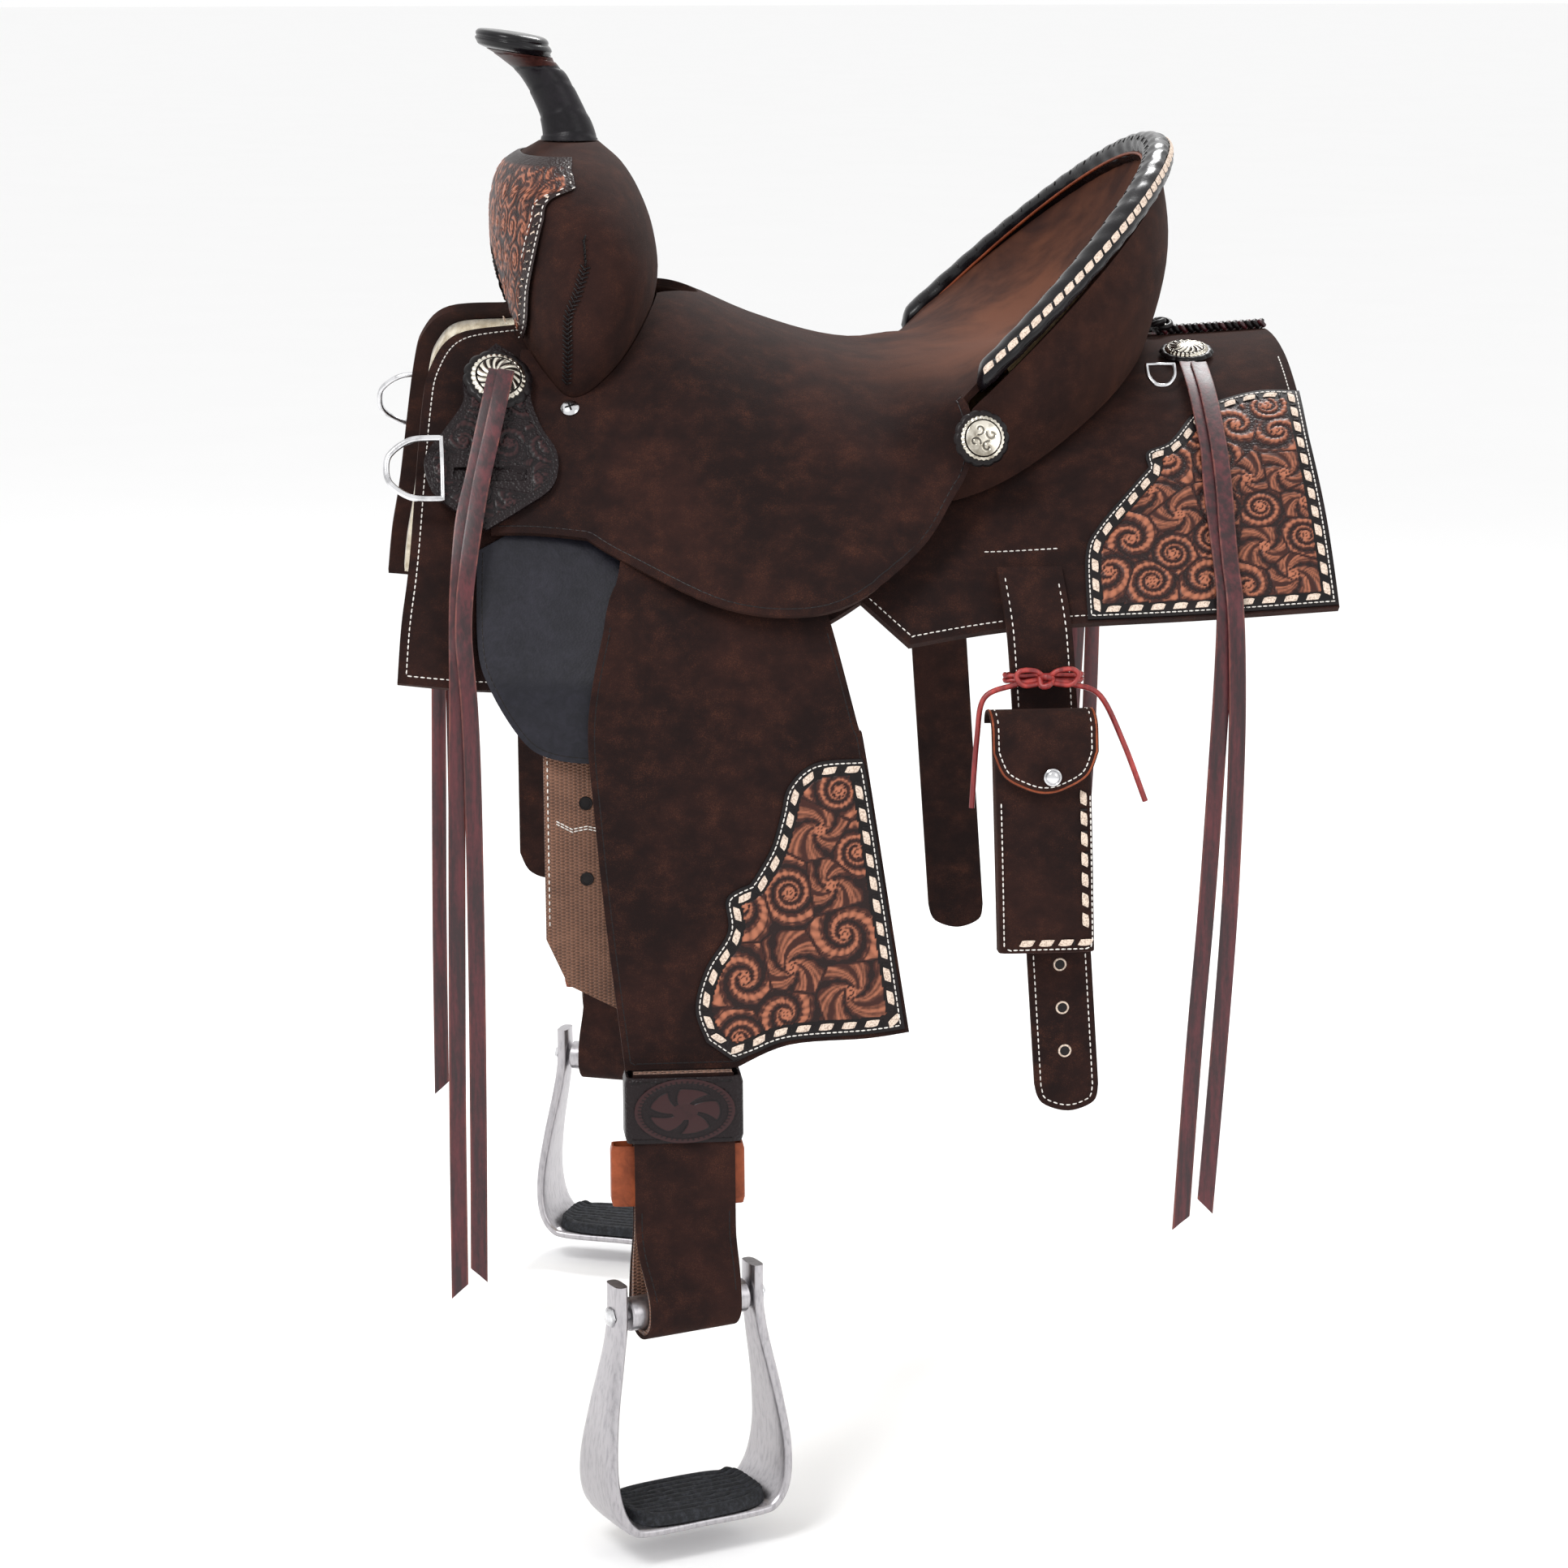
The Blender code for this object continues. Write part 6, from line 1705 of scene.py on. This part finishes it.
# ------------------------------------------------------------------ latigo and off billet
def make_cinch_straps():
    line = [(-0.162, 0.2405), (-0.20, 0.2400), (-0.38, 0.2375)]
    place = lambda lift: beside(line, lift, 0.006)
    loop = [(-0.1840, -0.1620), (-0.1840, -0.3210), (-0.1700, -0.3525), (-0.1370, -0.3700),
            (-0.1370, -0.1620)]
    bm = laid(new_piece(), loop, place(0.0), place(-0.0024), (0.012, 0.012), 0.0010, 0)
    finished("latigo_webbing", bm, "latigo_strap", ["webbing"], ["latigo"], twin=False)
    fold = [(-0.1835, -0.1640), (-0.1835, -0.3050), (-0.1720, -0.3190), (-0.1380, -0.3360),
            (-0.1380, -0.1640)]
    bm = laid(new_piece(), fold, place(-0.0026), place(-0.0046), (0.012, 0.012), 0.0009, 0)
    finished("latigo_second_layer", bm, "latigo_strap", ["webbing"], twin=False)
    holes("latigo_holes", "latigo_strap", place, [(-0.1566, -0.2288), (-0.1565, -0.2801)], 0.0034, 0.0,
          "edge", False)
    tie = [(-0.1750, -0.2430), (-0.1660, -0.2480), (-0.1560, -0.2462), (-0.1440, -0.2490)]
    rows = [(THREAD, place(0.0002), [(x, z + d) for x, z in tie], 0.0032, 0) for d in (0.0, 0.0018)]
    for edge in (-0.1815, -0.1395):
        rows.append((THREAD, place(0.0001), [(edge, -0.168), (edge, -0.315)], 0.0048, 0))
    sewn("latigo_stitching", "latigo_strap", rows, twin=False)

    strap = outline([(-0.1820, -0.1620), (-0.1820, -0.370)],
                    [(-0.1820, -0.370), (-0.1750, -0.384), (-0.1605, -0.390), (-0.1460, -0.384),
                     (-0.1390, -0.370)], [(-0.1390, -0.370), (-0.1390, -0.1620)],
                    [(-0.1390, -0.1620), (-0.1820, -0.1620)])
    far = lambda lift: (lambda x, z: place(lift)(x, z) * Vector((1, -1, 1)))
    bm = laid(new_piece(), strap, far(0.0), far(-0.0046), (0.012, 0.012), 0.0012)
    finished("off_billet_leather", bm, "off_billet_strap", ["rough", "edge"], ["off_billet"], twin=False)
    rows = [(THREAD, far(0.0001), [p for p in inset_line(strap, 0.004) if p[1] < -0.167], 0.0046, 0)]
    sewn("off_billet_stitching", "off_billet_strap", rows, twin=False)
    holes("off_billet_holes", "off_billet_strap", far, [(-0.1605, -0.29 - 0.024 * k) for k in range(4)],
          0.0030, 0.0, "edge", False)


# ------------------------------------------------------------------ fenders and stirrup leathers
FENDER_EDGE = [
    [(-0.1285, -0.0560), (-0.1330, -0.0800), (-0.1430, -0.1085), (-0.1549, -0.1718), (-0.1513, -0.2382),
     (-0.1444, -0.3126), (-0.1345, -0.3990)],
    [(-0.1345, -0.3990), (-0.0610, -0.3990)],
    [(-0.0610, -0.3990), (-0.0262, -0.3852), (0.0250, -0.3825), (0.0535, -0.3790)],
    [(0.0535, -0.3790), (0.0272, -0.1994), (0.0212, -0.1754), (0.0050, -0.1120), (-0.0050, -0.0790),
     (-0.0100, -0.0560)],
    [(-0.0100, -0.0560), (-0.0500, -0.0460), (-0.0900, -0.0460), (-0.1285, -0.0560)],
]
FENDER_PATCH = [
    [(0.0225, -0.1985), (-0.0077, -0.2009), (-0.0247, -0.2157), (-0.030, -0.235), (-0.0369, -0.2571),
     (-0.0502, -0.2791)],
    [(-0.0502, -0.2791), (-0.0662, -0.2885), (-0.0657, -0.3103), (-0.0807, -0.334), (-0.0878, -0.3602),
     (-0.0809, -0.3819)],
    [(-0.0809, -0.3819), (-0.0633, -0.3945)],
    [(-0.0633, -0.3945), (-0.0504, -0.3903), (-0.0262, -0.3822), (0.025, -0.3795), (0.0505, -0.3765)],
    [(0.0505, -0.3765), (0.0380, -0.2850), (0.0265, -0.2080), (0.0225, -0.1985)],
]


def fender_face(lift):
    """The fender hangs outside the strap it is sewn to, and is tucked in under the seat jockey's edge."""
    flip = [(-z, y) for z, y in FENDER_LINE]
    width = lambda z: curve_through(flip, -z)[0]

    def at(x, z):
        y = width(z)
        if z > -0.115:
            covered = smooth_step(-0.118, -0.094, z) * smooth_step(-0.104, -0.128, x)
            y = y * (1 - covered) + min(y, 0.2130 + 0.02 * smooth_step(-0.07, -0.05, -z)) * covered
        return y

    def place(x, z):
        step = 3e-4
        y = at(x, z)
        out = Vector((-(at(x + step, z) - y) / step, -1, (at(x, z + step) - y) / step * -1)).normalized()
        return Vector((x, -y, z)) + out * lift

    return place


def make_fenders():
    loop = outline(*FENDER_EDGE)
    bm = laid(new_piece(), loop, fender_face(0.0), fender_face(-FENDER_THICK), (0.010, 0.0095), 0.0018)
    fenders = finished("fender_leather_left", bm, None, ["rough", "edge"],
                       ["fender_left", "stirrup_strap_left"])
    line = [p for p in inset_line(loop, 0.0040) if p[1] < -0.112]
    rows = [(SLIT_LINE, fender_face(0.0), part, 0.0044, 2) for part in split_line(line)]
    creases = sewn("fender_crease_left", None, rows)
    for piece in fenders + creases:
        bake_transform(piece)
    patch("fender_patch", "fender_leg_left", outline(*FENDER_PATCH), fender_face, 0.0003, 0.027, 11)


def leg_frame(z):
    drop = (-0.40 - z) / (-0.40 - BOLT.z)
    centre = Vector((BOLT.x, -0.2870 + (BOLT.y + 0.2870) * drop, z))
    turn = LEG_TURN * (1 - smooth_step(-0.550, -0.500, z))
    wide = Vector((math.cos(turn), math.sin(turn), 0))
    return centre, wide, Vector((wide.y, -wide.x, 0))


def leg_path():
    thick = 0.0055
    middle = ROLLER_RADIUS + 0.0010 + thick / 2
    front = smooth_run([(0.0036, -0.4002), (0.0040, -0.415), (0.0056, -0.432), (0.0085, -0.447),
                        (0.0095, -0.500), (0.0105, -0.512), (0.0118, -0.522), (0.0130, -0.532),
                        (0.0140, -0.542), (middle, BOLT.z + 0.004)], 4) + [(middle, BOLT.z + 0.004)]
    turn = [(middle * math.cos(a), BOLT.z - middle * math.sin(a))
            for a in [math.pi * k / 24 for k in range(25)]]
    return front + turn + [(-n, z) for n, z in reversed(front)]


def leg_layer(n_low, n_high, half, columns=10):
    """A layer of the doubled leather, between two offsets from its middle line."""
    path = leg_path()
    rings = []
    for k, (n, z) in enumerate(path):
        a, b = path[max(k - 1, 0)], path[min(k + 1, len(path) - 1)]
        along = Vector((b[0] - a[0], b[1] - a[1])).normalized()
        out = Vector((along.y, -along.x)) * -1
        ring = []
        for face, across in ((n_high, range(columns + 1)), (n_low, range(columns, -1, -1))):
            for j in across:
                side = 2 * j / columns - 1
                height = z + out.y * face
                centre, wide, normal = leg_frame(height)
                trim = 0.92 if abs(side) == 1 and face == n_high else 1.0
                ring.append(centre + wide * side * half + normal * (n + out.x * face * trim))
        rings.append(ring)
    return ring_bm(rings)


def leg_face(n_lift):
    path = leg_path()[:41]
    rows = sorted((-z, n) for n, z in path if z > BOLT.z + 0.003)

    def place(u, z):
        centre, wide, normal = leg_frame(z)
        return centre + wide * u + normal * (curve_through(rows, -z)[0] + n_lift)

    return place


def band_bm(z_low, z_high, half, n_low, n_high, wall, shift=0.0, rows=10):
    """A strap round the stirrup leather with rounded edges, a closed ring in section."""

    def ring(grow, z):
        centre, wide, normal = leg_frame(z)
        centre = centre + wide * shift
        h, a, b = half + grow, n_low - grow, n_high + grow
        middle, deep = (a + b) / 2, (b - a) / 2
        points = []
        for k in range(56):
            t = 2 * math.pi * (k + 0.5) / 56
            c, s = math.cos(t), math.sin(t)
            size = (abs(c) ** 9 + abs(s) ** 9) ** (-1 / 9)
            points.append(centre + wide * (h * size * c) + normal * (middle + deep * size * s))
        return points

    levels = [z_low + (z_high - z_low) * k / rows for k in range(rows + 1)]
    outside = [ring(wall * (0.55 if k in (0, rows) else 1.0), z) for k, z in enumerate(levels)]
    inside = [ring(0.0, z) for z in reversed(levels)]
    loops = outside + inside + [outside[0]]
    bm = new_piece()
    grid(bm, 56, len(loops) - 1, lambda a, b: loops[round(b * (len(loops) - 1))][round(a * 56) % 56])
    turn_out(bm)
    return bm


def make_leathers():
    bm = leg_layer(0.0004, 0.00275, 0.033)
    finished("stirrup_leather_left", bm, "fender_leg_left", ["rough", "edge"], ["leather_loop_left"],
             sharp=60)
    bm = leg_layer(-0.00275, 0.0002, 0.0324)
    uv = bm.loops.layers.uv.verify()
    for face in bm.faces:
        for corner in face.loops:
            corner[uv].uv = (corner.vert.co.x, corner.vert.co.z)
    finished("stirrup_leather_lining_left", bm, "fender_leg_left", ["webbing"], sharp=60)
    rows = []
    for side in (-0.0288, 0.0288):
        rows.append((SLIT_LINE, leg_face(0.00276), [(side, -0.4920), (side, -0.5480)], 0.0042, 2))
    sewn("stirrup_leather_crease_left", "fender_leg_left", rows)

    bm = band_bm(-0.4440, -0.4006, 0.0362, -0.0120, 0.0110, 0.0028)
    finished("hobble_strap_leather_left", bm, "fender_leg_left", ["plain_tool"], ["hobble_strap_left"],
             sharp=60)

    def on_hobble(lift):
        def place(u, z):
            centre, wide, normal = leg_frame(z)
            return centre + wide * u + normal * (0.0110 + 0.0028 + lift)
        return place

    edges = [(SLIT_LINE, on_hobble(0.0), [(-0.0335, z), (0.0335, z)], 0.0042, 2) for z in (-0.4414, -0.4032)]
    sewn("hobble_crease_left", "fender_leg_left", edges)
    badge_oval(on_hobble)

    bm = band_bm(-0.4900, -0.4500, 0.0420, -0.0160, -0.0040, 0.0022, -0.0035)
    finished("buckle_sleeve_leather_left", bm, "sleeve_left", ["sleeve"], ["buckle_sleeve_left"], sharp=60)


def badge_oval(on_hobble):
    """An oval ornament with a beaded rim and a plain scroll flower in the middle."""
    bm = new_piece()

    def engraving(a, b):
        angle, share = 2 * math.pi * a, 1 - b
        if share > 0.86:
            return 0.9 if share > 0.93 else 0.4 + 0.5 * abs(math.cos(angle * 26))
        if share > 0.80:
            return 0.0
        if share <= 0.26:
            return 0.85
        curl = 5 * angle + 4.5 * share
        return smooth_step(0.25, 0.6, abs(math.sin(curl / 2))) * smooth_step(0.74, 0.66, share)

    def disc(a, b):
        angle, share = 2 * math.pi * a, 1 - b
        u, z = 0.0330 * share * math.cos(angle), -0.4222 + 0.0212 * share * math.sin(angle)
        lift = 0.0005 + 0.0016 * (1 - share ** 4) + 0.0006 * engraving(a, b)
        return on_hobble(lift)(u, z)

    grid(bm, 208, 40, disc, engraving)
    turn_out(bm)
    finished("hobble_ornament_left", bm, "fender_leg_left", ["plain_tool"], sharp=60)


# ------------------------------------------------------------------ stirrup
def stirrup_axes():
    wide = Vector((math.cos(LEG_TURN), math.sin(LEG_TURN), 0))
    return wide, Vector((wide.y, -wide.x, 0))


def bow_path(steps=8):
    half = smooth_run(STIRRUP_HALF, steps) + [STIRRUP_HALF[-1]]
    return half + [(-a, z, d) for a, z, d in reversed(half[:-1])]


def make_stirrup():
    wide, deep = stirrup_axes()
    path = bow_path()
    sections = []
    for k, (a, z, depth) in enumerate(path):
        before, after = path[max(k - 1, 0)], path[min(k + 1, len(path) - 1)]
        along = Vector((after[0] - before[0], after[1] - before[1])).normalized()
        out = Vector((-along.y, along.x))
        ring = []
        for j in range(28):
            t = 2 * math.pi * j / 28
            c, s = math.cos(t), math.sin(t)
            size = (abs(c) ** 3.4 + abs(s) ** 3.4) ** (-1 / 3.4)
            f, d = c * size * STIRRUP_THICK / 2, s * size * depth / 2
            ring.append(Vector((BOLT.x, BOLT.y, 0)) + wide * (a + out.x * f) + deep * d
                        + Vector((0, 0, z + out.y * f)))
        sections.append(ring)
    finished("stirrup_casting_left", ring_bm(sections), "stirrup_unit_left", ["aluminium"], ["stirrup_left"],
             sharp=60)

    inner = STIRRUP_HALF[0][0] - STIRRUP_THICK / 2 - 0.0012
    bm = new_piece()
    spun(bm, [(0, 0), (0.0045, 0), (0.0045, 0.001), (ROLLER_RADIUS - 0.001, 0.001), (ROLLER_RADIUS, 0.002),
              (ROLLER_RADIUS, 2 * inner - 0.002), (ROLLER_RADIUS - 0.001, 2 * inner - 0.001),
              (0.0045, 2 * inner - 0.001), (0.0045, 2 * inner), (0, 2 * inner)], 48)
    bmesh.ops.transform(bm, matrix=frame_at(BOLT - wide * inner, wide), verts=bm.verts)
    finished("stirrup_roller_tube_left", bm, "stirrup_unit_left", ["aluminium"], ["stirrup_roller_left"],
             sharp=40)

    bm = new_piece()
    for side in (-1, 1):
        head = bmesh.new()
        spun(head, [(0, 0.0034), (0.0040, 0.0032), (0.0062, 0.0022), (0.0070, 0.0006), (0.0070, 0.0)],
             6 if side < 0 else 32)
        mesh = bpy.data.meshes.new("head")
        head.to_mesh(mesh)
        head.free()
        start = len(bm.verts)
        bm.from_mesh(mesh)
        bm.verts.ensure_lookup_table()
        at = BOLT + wide * side * (STIRRUP_HALF[0][0] + STIRRUP_THICK / 2)
        bmesh.ops.transform(bm, matrix=frame_at(at, wide * side), verts=bm.verts[start:])
    finished("stirrup_bolt_left", bm, "stirrup_unit_left", ["steel"], sharp=35)

    low = STIRRUP_HALF[-1][1] + STIRRUP_THICK / 2 - 0.0002
    bm = new_piece()
    ridges = 9

    def top(a, b):
        u, v = 2 * a - 1, 2 * b - 1
        long, half = 0.0500, 0.0285
        bend = v + 0.10 * (1 - u * u) * v
        rib = abs(math.cos(v * math.pi * ridges / 2)) ** 0.5
        rise = 0.0048 + 0.0021 * rib * smooth_step(1.0, 0.93, abs(u))
        rise += 0.0030 * smooth_step(0.80, 1.0, abs(u))
        edge = min(1.0, (1 - max(abs(u) ** 6, abs(v) ** 6)) * 9)
        corner = (abs(u) ** 5 + abs(v) ** 5) ** 0.2
        keep = max(abs(u), abs(v)) / corner if corner > 0 else 1
        return (Vector((BOLT.x, BOLT.y, low + rise * max(edge, 0.0))) + wide * (long * u * keep)
                + deep * (half * bend * keep))

    grid(bm, 72, 126, top)
    bottom = bmesh.ops.extrude_face_region(bm, geom=bm.faces[:], use_keep_orig=True)
    for v in points_in(bottom):
        v.co.z = low - 0.0006
    turn_out(bm)
    finished("stirrup_tread_rubber_left", bm, "stirrup_unit_left", ["rubber"], ["stirrup_tread_left"],
             sharp=50)


# ------------------------------------------------------------------ tree, camera and light
def dress_cad():
    for node in ("tree_bar_left", "tree_bar_right", "tree_cantle", "tree_fork"):
        obj = frame["nodes"][node]
        obj.data.materials.clear()
        obj.data.materials.append(FINISH["rawhide"].material)


def aimed(place, target):
    """The stand of a camera or a lamp at a place, turned to a target."""
    return Matrix.Translation(place) @ (target - place).to_track_quat("-Z", "Y").to_matrix().to_4x4()


def set_camera():
    camera = bpy.data.cameras.new("camera")
    camera.lens, camera.sensor_width, camera.sensor_height = 95.8, 36, 36
    obj = bpy.data.objects.new("camera", camera)
    bpy.context.scene.collection.objects.link(obj)
    place, target = Vector((-0.3067, -2.9184, 0.3537)), Vector((0, 0, -0.27))
    obj.matrix_world = aimed(place, target)
    bpy.context.scene.camera = obj


def set_light():
    scene = bpy.context.scene
    scene.view_settings.view_transform = "Standard"
    world = bpy.data.worlds.new("world")
    world.use_nodes = True
    world.node_tree.nodes["Background"].inputs[0].default_value = (1, 1, 1, 1)
    world.node_tree.nodes["Background"].inputs[1].default_value = 1.0
    scene.world = world
    for name, place, size, power in (("key", (-1.4, -1.9, 2.1), 0.9, 46),
                                     ("fill", (1.9, -1.9, 0.7), 1.4, 9),
                                     ("rim", (0.8, 1.7, 1.9), 0.8, 44)):
        light = bpy.data.lights.new(name, "AREA")
        light.energy, light.size = power, size
        obj = bpy.data.objects.new(name, light)
        scene.collection.objects.link(obj)
        obj.matrix_world = aimed(Vector(place), Vector((0, 0, -0.15)))
    bm = bmesh.new()
    bmesh.ops.create_grid(bm, x_segments=1, y_segments=1, size=40.0)
    bmesh.ops.translate(bm, vec=(0, 0, CAD_BOX[0].z - 0.02), verts=bm.verts)
    mesh = bpy.data.meshes.new("floor")
    bm.to_mesh(mesh)
    bm.free()
    floor = bpy.data.objects.new("floor", mesh)
    scene.collection.objects.link(floor)
    paper = Finish("paper", roughness=0.9)
    paper.colour(paper.mix((0.93, 0.93, 0.93), (0.95, 0.95, 0.95), paper.noise(3)))
    mesh.materials.append(paper.material)


make_skirts()
make_patches()
make_trim()
make_dees()
make_flap()
make_seat()
make_cantle()
make_swell()
make_horn()
make_spine()
make_billets()
make_pouch()
make_thong()
make_strings()
make_cinch_straps()
make_fenders()
make_leathers()
make_stirrup()
dress_cad()
set_camera()
set_light()
